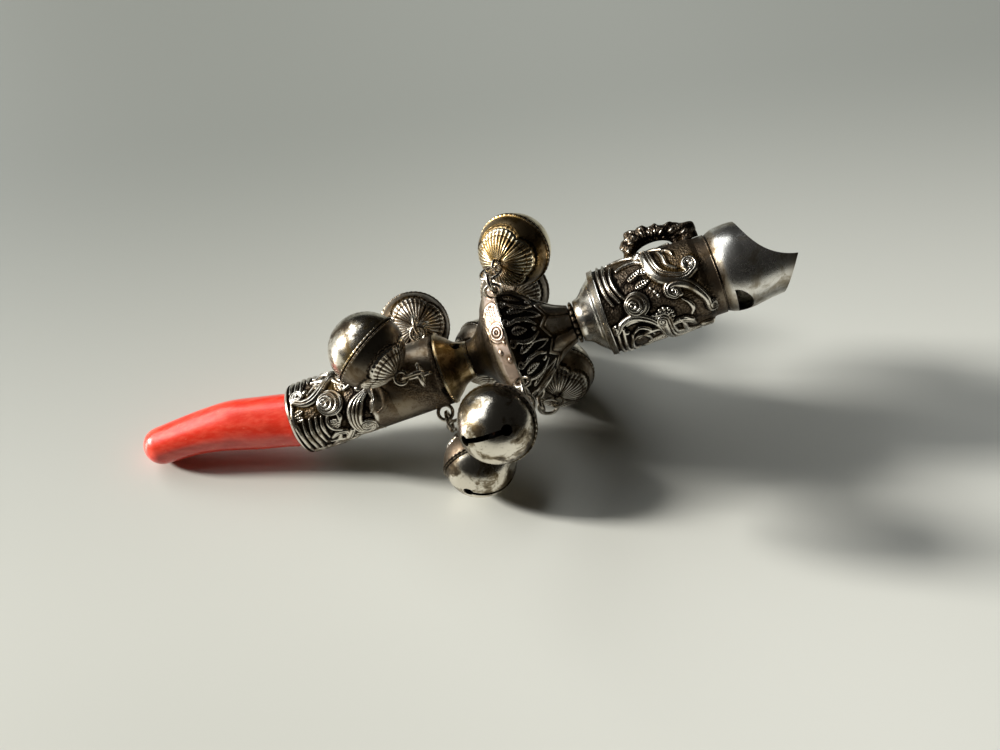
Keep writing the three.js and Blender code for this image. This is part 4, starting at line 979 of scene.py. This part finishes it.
def flareMesh():
    # the trumpet from the waist to the ridge: a smooth line carried round, with bosses and seed dots
    c = flareSizes
    shares = [(0, 0), (0.2, 0.05), (0.36, 0.17), (0.6, 0.47), (0.72, 0.72), (0.86, 0.92), (1, 1)]
    length, rise = at["flareRim"] - at["flare"], c["rimRadius"] - c["waistRadius"]
    points = [(at["flare"] + s * length, c["waistRadius"] + t * rise) for s, t in shares]
    # it runs on up to the ridge, where the two halves meet
    onward = np.column_stack([np.linspace(at["flareRim"], at["ridge"] - 0.2, c["ridgeRows"])[1:],
                              np.linspace(c["rimRadius"], c["ridgeRadius"], c["ridgeRows"])[1:]])
    line = np.concatenate([smoothLine(points, c["rows"]), onward])
    turns = roundTurns(c["sides"])
    span = np.concatenate([[0], np.cumsum(np.linalg.norm(np.diff(line, axis=0), axis=1))])
    # along the wall's own length, so that a boss on the steep part stays round
    motifPlace = lambda along: np.interp(along, line[:, 0], span)
    height = chase(turns, span, c["ornamentRadius"], *alongWall(flareMotifs, flareStrands, motifPlace))
    normal = np.stack([-np.gradient(line[:, 1]), np.gradient(line[:, 0])], -1)
    normal /= np.linalg.norm(normal, axis=1)[:, None]
    along = line[:, :1] + height * normal[:, :1]
    radius = line[:, 1:] + height * normal[:, 1:]
    inner = (line - normal * c["wall"])[::-1][2::5]
    spigotEnd = at["flare"] - c["spigot"]
    head = np.array([(spigotEnd, c["spigotRadius"]), (at["flare"], c["spigotRadius"])])
    tail = np.array([(spigotEnd, c["spigotBore"])])
    rows = np.concatenate([spread(head, turns), onAxis(along, radius, turns), spread(inner, turns),
                           spread(tail, turns)])
    # rubbed bright by the ridge, and dark towards the waist: oxide, and a painted shadow where the flare lies
    # between the end cap and the ridge
    chinks = np.maximum(recessOf(height, 2.5, 0.0, 2.6), 1.6 * np.clip(softened(height, 1.6) - height, 0, 1))
    dark = np.interp(line[:, 0], *c["tarnish"])[:, None]
    recess = np.clip(chinks + dark, 0, 1)
    back = np.ones((len(inner) + 1, c["sides"]))
    values = np.concatenate([np.full((2, c["sides"]), 0.5), recess, 0.7 * back])
    # a pink bloom from the flare's rim to the ridge
    pink = np.interp(line[:, 0], *c["pink"])[:, None] + 0 * turns
    tints = np.concatenate([np.zeros((2, c["sides"])), pink, 0 * back])
    return loopMesh("bodyFlare", rows, values, tints=tints)


addPiece("bodyFlare", flareMesh(), polishedSilver, "rattle", "polished_silver", "body_flare")

shoulderSizes = dict(ridgeRadius=12.88, foldRadius=12.83, fold=0.1, neckRadius=4.2, tubeRadius=3.3,
                     tubeWall=0.7, tubeReach=3.4, wall=0.7, groundDepth=0.6, fluteDepth=0.1, panelEnd=88.7,
                     scallop=1.5, lip=0.34, ornamentRadius=10.0, sides=420, rows=180, flutes=8)
# one eighth of the shoulder's ornament, about 0 degrees: two leaves that lean together over a boss
shoulderMotifs = [
    (bead, 0, 87.3, 0, False, dict(radius=0.62, rise=0.6)),
    (bead, 22.5, 88.9, 0, False, dict(radius=0.5, rise=0.5)),
    (leaf, 0, 83.0, 0, False, dict(length=3.6, width=1.0, rise=0.55)),
    (leaf, 22.5, 83.2, 12, False, dict(length=4.2, width=0.85, rise=0.5)),
    (bead, 11, 83.3, 0, False, dict(radius=0.4, rise=0.4)),
    (bead, -11, 83.3, 0, False, dict(radius=0.4, rise=0.4)),
]
shoulderStrands = [
    ([(82.8, -8), (84.6, -13), (86.4, -13), (87.9, -6)], 0.6, 0.6,
     dict(grooves=(0.0,), curls=((1, 0.7), (0, 0)))),
    ([(82.8, 8), (84.6, 13), (86.4, 13), (87.9, 6)], 0.6, 0.6,
     dict(grooves=(0.0,), curls=((-1, 0.7), (0, 0)))),
    ([(86.2, 17), (87.9, 18), (88.9, 22.5), (87.9, 27), (86.2, 28)], 0.34, 0.5, dict(ends=(0.3, 0.3))),
]
shoulderMotifs, shoulderStrands = repeated(shoulderMotifs, shoulderStrands, tuple(range(10, 370, 45)))


def shoulderMesh():
    # from the sharp ridge down to the neck: chased panels with a scalloped edge, then rounded flutes
    c = shoulderSizes
    shares = [(0, 1), (0.2, 0.83), (0.43, 0.57), (0.6, 0.34), (0.8, 0.13), (1, 0)]
    length, rise = at["neck"] - at["ridge"], c["ridgeRadius"] - c["neckRadius"]
    line = smoothLine([(at["ridge"] + s * length, c["neckRadius"] + t * rise) for s, t in shares], c["rows"])
    turns = roundTurns(c["sides"])
    t = np.radians(turns)
    span = np.concatenate([[0], np.cumsum(np.linalg.norm(np.diff(line, axis=0), axis=1))])
    place = lambda along: np.interp(along, line[:, 0], span)
    height = chase(turns, span, c["ornamentRadius"], *alongWall(shoulderMotifs, shoulderStrands, place))
    wave = np.abs(np.cos(c["flutes"] * (t - np.radians(10)) / 2))[None, :]
    edge = c["panelEnd"] + c["scallop"] * (1 - wave) ** 0.6
    along = line[:, :1] + 0 * turns
    panel = np.clip((edge - along) / 0.3, 0, 1)
    lip = c["lip"] * np.exp(-((along - edge) / 0.28) ** 2)
    fluted = (0.07 * line[:, 1:]) * (wave ** 0.6 - 1) - c["fluteDepth"]
    flute = np.clip((along - edge - 0.2) / 0.9, 0, 1) * fluted
    # the ground is driven in, so that the ornament stands hardly higher than the plain metal
    height = height * panel + lip + flute - c["groundDepth"] * np.clip((edge + 0.9 - along) / 0.6, 0, 1) \
        * np.clip((along - at["ridge"] - 0.1) / 0.3, 0, 1)
    recess = recessOf(height * panel, 2.5, 0.8) * panel + (1 - panel) * np.clip(0.9 - 1.1 * wave, 0.18, 1) \
        + 0.7 * np.exp(-((along - edge - 0.5) / 0.25) ** 2)
    rows = onAxis(along, line[:, 1:] + height, turns)
    inner = (line - [0, c["wall"] + 0.1])[::-1][1::6]
    foldAt, tubeEnd = at["ridge"] - c["fold"], at["neck"] + c["tubeReach"]
    tubeBore = c["tubeRadius"] - c["tubeWall"]
    head = np.array([(foldAt, c["foldRadius"] - c["wall"]), (foldAt, c["foldRadius"])])
    tail = np.array([(at["neck"], c["tubeRadius"]), (tubeEnd, c["tubeRadius"]), (tubeEnd, tubeBore),
                     (at["neck"] - c["wall"], tubeBore)])
    inner = inner[inner[:, 0] < at["neck"] - c["wall"]]
    full = np.concatenate([spread(head, turns), rows, spread(tail, turns), spread(inner, turns)])
    values = np.concatenate([np.full((len(head), c["sides"]), 0.05), recess,
                             np.full((len(tail) + len(inner), c["sides"]), 0.7)])
    return loopMesh("bodyShoulder", full, np.clip(values, 0, 1))


addPiece("bodyShoulder", shoulderMesh(), chasedSilver, "rattle", "oxidised_silver", "body_shoulder")

beadSizes = dict(count=18, radius=4.2, sunk=0.3, proud=0.42, width=0.8, bore=3.6, sides=288)


def beadRingMesh():
    # a ring with a round outside whose height swells and falls with the beads
    c = beadSizes
    turns = roundTurns(c["sides"])
    swell = np.abs(np.cos(np.radians(turns) * c["count"] / 2))
    middle = at["bead"] + c["width"] / 2
    shape = np.linspace(0, np.pi, 12)
    rows = [onAxis(middle - np.cos(k) * c["width"] / 2,
                   c["radius"] - c["sunk"] + (0.2 + c["proud"] * swell) * np.sin(k), turns) for k in shape]
    rows += [onAxis(middle + side * c["width"] / 2, c["bore"], turns) for side in (1, -1)]
    # dark between the beads and in the bore
    values = np.concatenate([np.clip(1.25 - 1.05 * swell, 0, 1) + np.zeros((len(shape), 1)),
                             np.full((2, c["sides"]), 0.8)])
    return loopMesh("neckBeads", np.array(rows), values)


addPiece("neckBeads", beadRingMesh(), chasedSilver, "rattle", "oxidised_silver", "neck_bead_ring")
print("stage: body ready")

# The whistle
skirtSizes = dict(neckRadius=4.4, rimRadius=9.42, wall=0.7, bore=3.6, lapBore=9.15,
                  lines=((1.1, 0.14), (1.9, 0.1)), sides=200)


def skirtOutline():
    # the polished cone, its knife edge, and the wall back inside to the bore
    c = skirtSizes
    shares = [(0, 0), (0.25, 0.15), (0.52, 0.485), (1, 1)]
    length, rise = at["skirtRim"] - at["skirt"], c["rimRadius"] - c["neckRadius"]
    wall = smoothLine([(at["skirt"] + s * length, c["neckRadius"] + t * rise) for s, t in shares], 48)
    lapAt = at["barrel"] - 0.3
    inner = (wall - [0, c["wall"]])[::-1]
    inner = inner[(inner[:, 0] < lapAt - 0.3) & (inner[:, 1] > c["bore"] + 0.1)]
    # two turned lines near the rim: how far from it, and how deep
    for back, depth in c["lines"]:
        wall[:, 1] -= depth * np.exp(-((wall[:, 0] - at["skirtRim"] + back) / 0.12) ** 2)
    lap = [(at["skirtRim"], c["lapBore"] + 0.15), (lapAt, c["lapBore"])]
    return np.array([(at["skirt"], c["bore"])] + list(wall) + lap + list(inner))


skirtLine = skirtOutline()
# grime by the bead ring and in the turned line nearer the rim
skirtGrime = 0.5 * np.exp(-((skirtLine[:, 0] - at["skirt"]) / 0.5) ** 2) \
    + 0.5 * np.exp(-((skirtLine[:, 0] - at["skirtRim"] + skirtSizes["lines"][0][0]) / 0.14) ** 2)
skirtRecess = skirtGrime[:, None] + np.zeros(skirtSizes["sides"])
addPiece("whistleSkirt", loopMesh("whistleSkirt", turned(skirtLine, skirtSizes["sides"]), skirtRecess),
         polishedSilver, "rattle", "polished_silver", "whistle_skirt")

# the tarnish is given as places along the axis and how much there
barrelSizes = dict(radius=8.9, waistRadius=8.45, bevel=1.2, wall=0.7, chasedTo=124.3, sides=460, rows=210,
                   tarnish=([101, 116, 123.6, 126], [1, 0.95, 0.7, 0.55]))
barrelStrands = [
    # the great scroll that rises from the left and turns over, with its thin echo inside
    ([(113.3, 158), (113.4, 143), (113.7, 125), (114.9, 109), (117.2, 101), (119.6, 98.5), (121.6, 104)],
     1.5, 1.05, dict(grooves=(0.1, 0.55), curls=((1, 0.9), (1, 1.4)), ends=(0.9, 0.55))),
    ([(115.9, 152), (116.6, 138), (116.9, 122), (118.4, 113)], 0.5, 0.7, dict(ends=(0.4, 0.6))),
    ([(117.4, 150), (118.4, 142), (118.6, 134)], 0.5, 0.6, dict(curls=((1, 0.6), (0, 0)), ends=(0.5, 0.4))),
    # the smaller scroll to its right
    ([(116.0, 80), (115.3, 85), (115.8, 93), (117.6, 94), (119.6, 88), (121.2, 76), (122.3, 62), (122.4, 48)],
     1.1, 1.0, dict(grooves=(0.3,), curls=((1, 0.9), (1, 1.15)), ends=(0.6, 0.6))),
    ([(117.6, 72), (118.8, 64), (119.2, 54), (118.6, 46)], 0.5, 0.45, dict(ends=(0.3, 0.4))),
    # threads that run round below the rim
    ([(104.4, 165), (104.0, 131), (104.3, 112), (105.4, 95)], 0.42, 0.7, dict(ends=(0.9, 0.8))),
    ([(105.9, 152), (105.2, 129), (105.6, 110), (106.6, 97)], 0.42, 0.7, dict(ends=(0.7, 0.8))),
    ([(103.2, 172), (102.9, 140), (103.1, 112), (104.0, 93)], 0.36, 0.6, dict(ends=(0.9, 0.8))),
    ([(105.3, 168), (107.0, 171), (109.0, 170), (110.6, 162)], 0.7, 0.6,
     dict(ends=(0.3, 0.4), curls=((0, 0), (1, 0.7)))),
    ([(106.8, 140), (108.5, 145), (110.8, 146), (112.0, 140)], 0.6, 0.55, dict(ends=(0.3, 0.4))),
    # the leaf with an eye, towards the right
    ([(103.4, 57), (104.6, 66), (107.2, 69), (110.0, 60), (111.6, 46), (112.2, 28)], 0.85, 0.9,
     dict(grooves=(0.2,), curls=((-1, 0.85), (0, 0)), ends=(0.6, 0.5))),
    ([(105.8, 44), (107.6, 52), (109.4, 45), (110.2, 32)], 0.45, 0.6, dict(ends=(0.3, 0.4))),
    ([(105.6, 33), (107.2, 40), (108.8, 33), (109.4, 20)], 0.42, 0.55, dict(ends=(0.3, 0.4))),
    ([(113.6, 36), (115.8, 42), (117.8, 36), (118.8, 24)], 0.85, 0.65, dict(grooves=(0.0,), ends=(0.3, 0.4))),
    ([(113.4, 22), (115.6, 14), (117.0, 4)], 0.7, 0.55, dict(ends=(0.3, 0.4))),
]
barrelMotifs = [
    (snail, 84, 108.6, 0, False, dict(radius=2.6, rise=1.05, rings=4.0, offset=(-1.1, 0.0))),
    (leaf, 126, 110.4, -18, False, dict(length=3.6, width=0.85, rise=0.6)),
    (leaf, 117, 108.4, 30, True, dict(length=3.6, width=0.85, rise=0.6)),
    (leaf, 104, 109.4, 12, False, dict(length=3.4, width=0.85, rise=0.6)),
    (seedCluster, 57, 113.3, 0, False, dict(radius=1.9, rise=0.6)),
    (bead, 112, 120.2, 0, False, dict(radius=0.75, rise=0.75)),
    (bead, 79, 117.6, 0, False, dict(radius=0.6, rise=0.65)),
    (bead, 51, 104.9, 0, False, dict(radius=0.55, rise=0.6)),
    (bead, 92, 112.9, 0, False, dict(radius=0.4, rise=0.4)),
    (bead, 86, 113.3, 0, False, dict(radius=0.4, rise=0.4)),
    (bead, 98, 112.3, 0, False, dict(radius=0.35, rise=0.35)),
]
barrelMotifs, barrelStrands = repeated(barrelMotifs, barrelStrands, (0, 152, 254))


def barrelMesh():
    # a tube that steps in before the mouthpiece, its outside chased with scrolls on a punched ground
    c = barrelSizes
    turns = roundTurns(c["sides"])
    along = np.linspace(at["barrel"], at["barrelEnd"], c["rows"])
    base = np.interp(along, [at["barrel"], at["barrelStep"], at["barrelStep"] + c["bevel"], at["barrelEnd"]],
                     [c["radius"], c["radius"], c["waistRadius"], c["waistRadius"]])
    height = chase(turns, along, c["radius"], barrelMotifs, barrelStrands)
    # under the skirt's lap, and on the waist, the barrel is plain
    pastLap = np.clip((along - at["skirtRim"] - 0.1) / 0.5, 0, 1)
    height *= (pastLap * np.clip((c["chasedTo"] - along) / 0.5, 0, 1))[:, None]
    # the ground itself fades from dark by the rim to rubbed by the mouthpiece
    fade = np.interp(along, *c["tarnish"])[:, None]
    recess = recessOf(height, 3.4, 0.62) * fade
    recess = np.maximum(recess, 0.6 * np.exp(-((along - at["barrelEnd"]) / 0.4) ** 2)[:, None])
    recess = np.maximum(recess, 0.5 * np.exp(-((along - at["skirtRim"] - 0.3) / 0.5) ** 2)[:, None])
    rows = onAxis(along[:, None] + 0 * turns, base[:, None] + height, turns)
    bore, waistBore = c["radius"] - c["wall"], c["waistRadius"] - c["wall"]
    inner = np.array([(at["barrelEnd"], waistBore), (at["barrelStep"] + c["bevel"] - 0.1, waistBore),
                      (at["barrelStep"] - 0.1, bore), (at["barrel"], bore)])
    full = np.concatenate([rows, spread(inner, turns)])
    values = np.concatenate([recess, np.full((4, c["sides"]), 0.8)])
    return loopMesh("whistleBarrel", full, values)


addPiece("whistleBarrel", barrelMesh(), chasedSilver, "rattle", "oxidised_silver", "whistle_barrel")
for node in ("whistle_base_plate", "whistle_block"):
    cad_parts[node].data.materials.clear()
    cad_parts[node].data.materials.append(chasedSilver)

mouthSizes = dict(bulbRadius=9.2, wall=0.9, spigotRadius=7.45, spigot=2.5, spigotWall=0.7, tipDrop=1.75,
                  endRadius=8.1, slant=3.9, windwayFloor=5.9, windowWide=9.2, windowDeep=3.2, windowTurn=28.0,
                  sides=220, boreSides=140)
mouthTurn = turnX(float(around(180)))


def prism(name, outline, low, high):
    # a flat outline in along and up, drawn out sideways from low to high
    outline = np.asarray(outline, float)
    side = lambda level: np.column_stack([outline, np.full(len(outline), level)])
    rows = np.stack([side(low), side(high)])
    return looseObject(name, poleMesh(name, rows, rows.mean(1), place=asDrawn))


def bezier(a, b, c, d, steps=40):
    # a cubic curve from a to d, drawn towards b and c
    t = np.linspace(0, 1, steps)[:, None]
    a, b, c, d = (np.array(p, float) for p in (a, b, c, d))
    return (1 - t) ** 3 * a + 3 * (1 - t) ** 2 * t * b + 3 * (1 - t) * t ** 2 * c + t ** 3 * d


def mouthpiece():
    # a turned bulb and beak; a concave scoop, a slanted end and the D window are cut from it
    c = mouthSizes
    shares = [(0, 0.9), (0.11, 0.975), (0.27, 1), (0.42, 0.975), (0.62, 0.93), (1, 0.88)]
    length, reach = at["tip"] - at["bulb"], at["tip"] - at["beak"]
    outer = smoothLine([(at["bulb"] + s * length, c["bulbRadius"] * t) for s, t in shares], 60)
    scoopLine = lambda back: bezier(
        (at["beak"] - back, c["bulbRadius"] * 1.05 - back),
        (at["beak"] + 0.13 * reach - back, c["bulbRadius"] * 0.4 - back),
        (at["beak"] + 0.4 * reach - back, c["bulbRadius"] * -0.05 - back),
        (at["tip"] - back, -c["tipDrop"] - back))
    # the cutters reach 12 mm from the axis and more, clear of the metal
    far = [(at["tip"] + 3, -c["tipDrop"]), (at["tip"] + 3, 12), (at["beak"], 12)]
    lean = c["slant"] / (c["endRadius"] - c["tipDrop"])
    edge = lambda height: at["tip"] + (height + c["tipDrop"]) * lean
    bore = c["spigotRadius"] - c["spigotWall"]
    start = at["bulb"] - c["spigot"]
    outline = [(start, c["spigotRadius"]), (at["bulb"], c["spigotRadius"])] + list(outer)
    piece = looseObject("whistleMouthpiece", poleMesh("mouthpiece", turned(outline, c["sides"]),
                                                      [[start, 0, 0], [at["tip"], 0, 0]], place=asDrawn))
    beyond = [(edge(12), 12), (edge(-12), -12), (at["tip"] + 14, -12), (at["tip"] + 14, 12)]
    applyCut(piece, [prism("scoopCutter", np.concatenate([scoopLine(0), far]), -12, 12),
                     prism("endCutter", beyond, -12, 12)])
    inner = [(a, r - c["wall"]) for a, r in outer if a > at["bulb"] + c["wall"]]
    outline = [(start - 2.5, bore), (at["bulb"] + 0.2, bore)] + inner + [(at["tip"] + 2, 7.2)]
    hollow = looseObject("hollow", poleMesh("hollow", turned(outline, c["boreSides"]),
                                            [[start - 2.5, 0, 0], [at["tip"] + 2, 0, 0]], place=asDrawn))
    lowered = [(along, up - c["wall"]) for along, up in far]
    applyCut(hollow, [prism("innerScoop", np.concatenate([scoopLine(c["wall"]), lowered]), -13, 13)])
    # the window: a straight edge on the barrel's side and half an ellipse towards the beak
    flat = at["beak"] - 0.2 - c["wall"] - c["windowDeep"]
    half = np.linspace(-np.pi / 2, np.pi / 2, 40)
    along = flat + c["windowDeep"] * np.cos(half)
    sideways = c["windowWide"] / 2 * np.sin(half)
    tilt = turnX(-np.radians(c["windowTurn"]))[:3, :3]
    window = lambda level: np.column_stack([along, np.full(len(half), level), sideways]) @ tilt.T
    rows = np.stack([window(-c["windwayFloor"] / 2), window(-14.0)])
    windowCutter = looseObject("windowCutter", poleMesh("windowCutter", rows, rows.mean(1), place=asDrawn))
    applyCut(piece, [hollow, windowCutter])

    def soil(points):
        # brown and pitted by the barrel and under the beak, rubbed clean between
        byBarrel = 0.45 * np.exp(-((points[:, 0] - at["bulb"]) / 1.2) ** 2)
        byTip = 0.26 * np.exp(-((points[:, 0] - at["tip"]) / 3.0) ** 2)
        return np.clip(byBarrel + byTip + 0.12 * np.clip((-points[:, 1] - 5) / 3, 0, 1), 0, 1)

    return settled(piece, mouthTurn, 30, soil)


addPiece("whistleMouthpiece", mouthpiece(), buffedSilver, "rattle", "polished_silver", "whistle_mouthpiece")

loopSizes = dict(span=16.4, rise=6.0, thick=3.0, fromEnd=0.6, opening=8.2, openingRise=1.9, openingShift=-1.5,
                 wall=8.6, sides=72, steps=190)
# share of the span from the skirt's side: share of the rise
loopShares = [(0, 0.12), (0.03, 0.62), (0.1, 0.88), (0.18, 0.97), (0.29, 1), (0.45, 0.93), (0.66, 0.8),
              (0.88, 0.66), (0.97, 0.5), (1, 0.16)]


def ribbonLoop():
    # a cast leafy arch: rings about the opening's middle, each going from the opening over the front to
    # the outer edge and back; the outer edge is lobed and the front carries leaf ribs and beads
    c = loopSizes
    start = at["barrelEnd"] - c["fromEnd"] - c["span"]
    middle = start + c["span"] / 2 + c["openingShift"]
    angle = np.linspace(0.0, np.pi, c["steps"])
    # the outer edge in polar form about the opening's foot
    share, rise = smoothLine(loopShares, 400).T
    edgeAlong, edgeUp = start + share * c["span"] - middle, rise * c["rise"]
    order = np.argsort(np.arctan2(edgeUp, -edgeAlong))
    outer = np.interp(angle, np.arctan2(edgeUp, -edgeAlong)[order], np.hypot(edgeUp, edgeAlong)[order])
    inner = 1 / np.hypot(np.cos(angle) / (c["opening"] / 2), np.sin(angle) / c["openingRise"])
    lobes = 1 + 0.045 * np.cos(13 * angle + 0.4) + 0.012 * np.cos(29 * angle + 1)
    outer = (outer - 0.12) * np.where((angle > 0.12) & (angle < 3.0), lobes, 1)
    sweep = np.arange(c["sides"]) / c["sides"] * 2 * np.pi
    # across the section: 0 at the opening and 1 at the outer edge, and the side it lies on
    across = 0.5 - 0.5 * np.sign(np.cos(sweep)) * np.abs(np.cos(sweep)) ** 0.75
    side = np.sign(np.sin(sweep)) * np.abs(np.sin(sweep)) ** 0.6
    reach = inner[:, None] + (outer - inner)[:, None] * across
    bend = angle[:, None]
    arc = (bend * 3.1 + 0.9 * across) % 1 - 0.5
    fold = 0.5 + 0.5 * np.cos(2 * np.pi * (2.2 * bend + 1.3 * np.sin(2.2 * across)))
    vein = 0.5 + 0.5 * np.cos(2 * np.pi * (5.3 * bend - 1.1 * across) + 1.5 * np.sin(5 * bend))
    rib = (0.65 * fold + 0.35 * vein) ** 1.3
    dots = np.exp(-((across - 0.55) / 0.1) ** 2 - (arc / 0.13) ** 2) + np.exp(
        -((across - 0.88) / 0.07) ** 2 - ((np.abs(arc) - 0.5) / 0.12) ** 2)
    relief = 0.4 * rib * np.sin(np.pi * across) + 0.36 * dots - 0.3 * np.exp(-((across - 0.22) / 0.05) ** 2)
    deep = side * (c["thick"] / 2 * (0.74 + 0.18 * np.sin(np.pi * across)) + np.abs(side) * relief)
    points = np.stack([middle - reach * np.cos(bend), c["wall"] + reach * np.sin(bend), deep], -1)
    # dark between the ribs and in the groove round the opening, bright on the dots and the outer edge
    grime = 0.95 - 0.8 * rib * np.sin(np.pi * across) - 1.3 * dots \
        + 0.6 * np.exp(-((across - 0.3) / 0.08) ** 2)
    values = np.clip(grime - 0.7 * np.exp(-((across - 1) / 0.07) ** 2), 0, 1)
    poles = [points[0].mean(0), points[-1].mean(0)]
    return poleMesh("ribbonLoop", points, poles, values, placedBy(mouthTurn))


addPiece("ribbonLoop", ribbonLoop(), chasedSilver, "rattle", "oxidised_silver", "ribbon_loop")
print("stage: whistle ready")

# Camera, floor and light
# where the camera stands from the rattle's own origin, in millimetres, and its three axes in the row frame
view = dict(stands=(46.2134, -151.3119, 207.915), right=(0.98296, -0.18382, 0.0),
            up=(0.14373, 0.76856, 0.62343), back=(-0.1146, -0.6128, 0.78188),
            sensorWidth=36.0, focalPixels=1122.0, pixelsWide=1000)
camera = looseObject("camera", bpy.data.cameras.new("camera"))
camera.data.sensor_width = view["sensorWidth"]
camera.data.lens = view["sensorWidth"] * view["focalPixels"] / view["pixelsWide"]
camera.data.clip_start, camera.data.clip_end = 0.01, 20.0
cameraTurn = Matrix([view["right"], view["up"], view["back"]]).transposed()
cameraAt = (rattlePlace + np.array(view["stands"])) * mm
camera.matrix_world = Matrix.Translation(Vector(cameraAt)) @ cameraTurn.to_4x4()
bpy.context.scene.camera = camera

# a smooth painted table top, with painted shade on it: paler towards the front, and greyer towards the back
# and the left, where the room's light falls off; where the shades start and end along Y and X, and its half
# width and level, are in metres
tableSizes = dict(front="#F3F3EA", back="#A7AAA4", backShadeFrom=-0.05, backShadeTo=0.12, left="#D6D6D4", leftShadeFrom=0.1,
                  leftShadeTo=-0.12, roughness=0.42, halfWidth=3.0, level=-0.0002)
floorMaterial, floorTree, floorShader = newMaterial("paleTableTop")
floorPlace = addNode(floorTree, "ShaderNodeTexCoord", "Object")
floorAlong = addNode(floorTree, "ShaderNodeSeparateXYZ", "X", {"Vector": floorPlace})
floorAcross = addNode(floorTree, "ShaderNodeSeparateXYZ", "Y", {"Vector": floorPlace})
floorColourWithShade = layered(floorTree, linear(tableSizes["front"]), tableSizes["back"], floorAcross,
                      tableSizes["backShadeFrom"], tableSizes["backShadeTo"])
floorColourWithShade = layered(floorTree, floorColourWithShade, tableSizes["left"], floorAlong,
                      tableSizes["leftShadeFrom"], tableSizes["leftShadeTo"], way="MULTIPLY")
setInputs(floorTree, floorShader, {"Base Color": floorColourWithShade, "Roughness": tableSizes["roughness"]})
floorCorners = [(x * tableSizes["halfWidth"], y * tableSizes["halfWidth"], tableSizes["level"])
                for x, y in ((-1, -1), (1, -1), (1, 1), (-1, 1))]
floorMesh = bpy.data.meshes.new("floor")
floorMesh.from_pydata(floorCorners, [], [(0, 1, 2, 3)])
floorMesh.materials.append(floorMaterial)
floor = looseObject("floor", floorMesh)

# soft boxes: place, what they look at, width and height in metres, watts and colour
lamps = dict(
    key=dict(at=(-1.72, 0.46, 0.66), look=(0.0, 0.0, 0.02), size=(0.22, 0.30), watts=69.0, colour="#FCFAF5"),
    window=dict(at=(-1.35, 1.0, 1.35), look=(0.0, 0.0, 0.0), size=(2.2, 1.5), watts=32.0, colour="#F3F6F7"),
)
for lampName, lamp in lamps.items():
    light = bpy.data.lights.new(lampName, "AREA")
    light.shape, light.size, light.size_y = "RECTANGLE", lamp["size"][0], lamp["size"][1]
    light.energy, light.color = lamp["watts"], linear(lamp["colour"])[:3]
    lightObject = looseObject(lampName, light)
    facing = (Vector(lamp["look"]) - Vector(lamp["at"])).to_track_quat("-Z", "Y")
    lightObject.matrix_world = Matrix.Translation(lamp["at"]) @ facing.to_matrix().to_4x4()

# the rest of the room is dim, and the silver shows it
world = bpy.data.worlds.new("dimRoom")
bpy.context.scene.world = world
world.use_nodes = True
world.node_tree.nodes["Background"].inputs["Color"].default_value = linear("#1C1B19")
world.node_tree.nodes["Background"].inputs["Strength"].default_value = 1.0

bpy.context.scene.view_settings.view_transform = "Standard"
print("stage: camera and light ready")
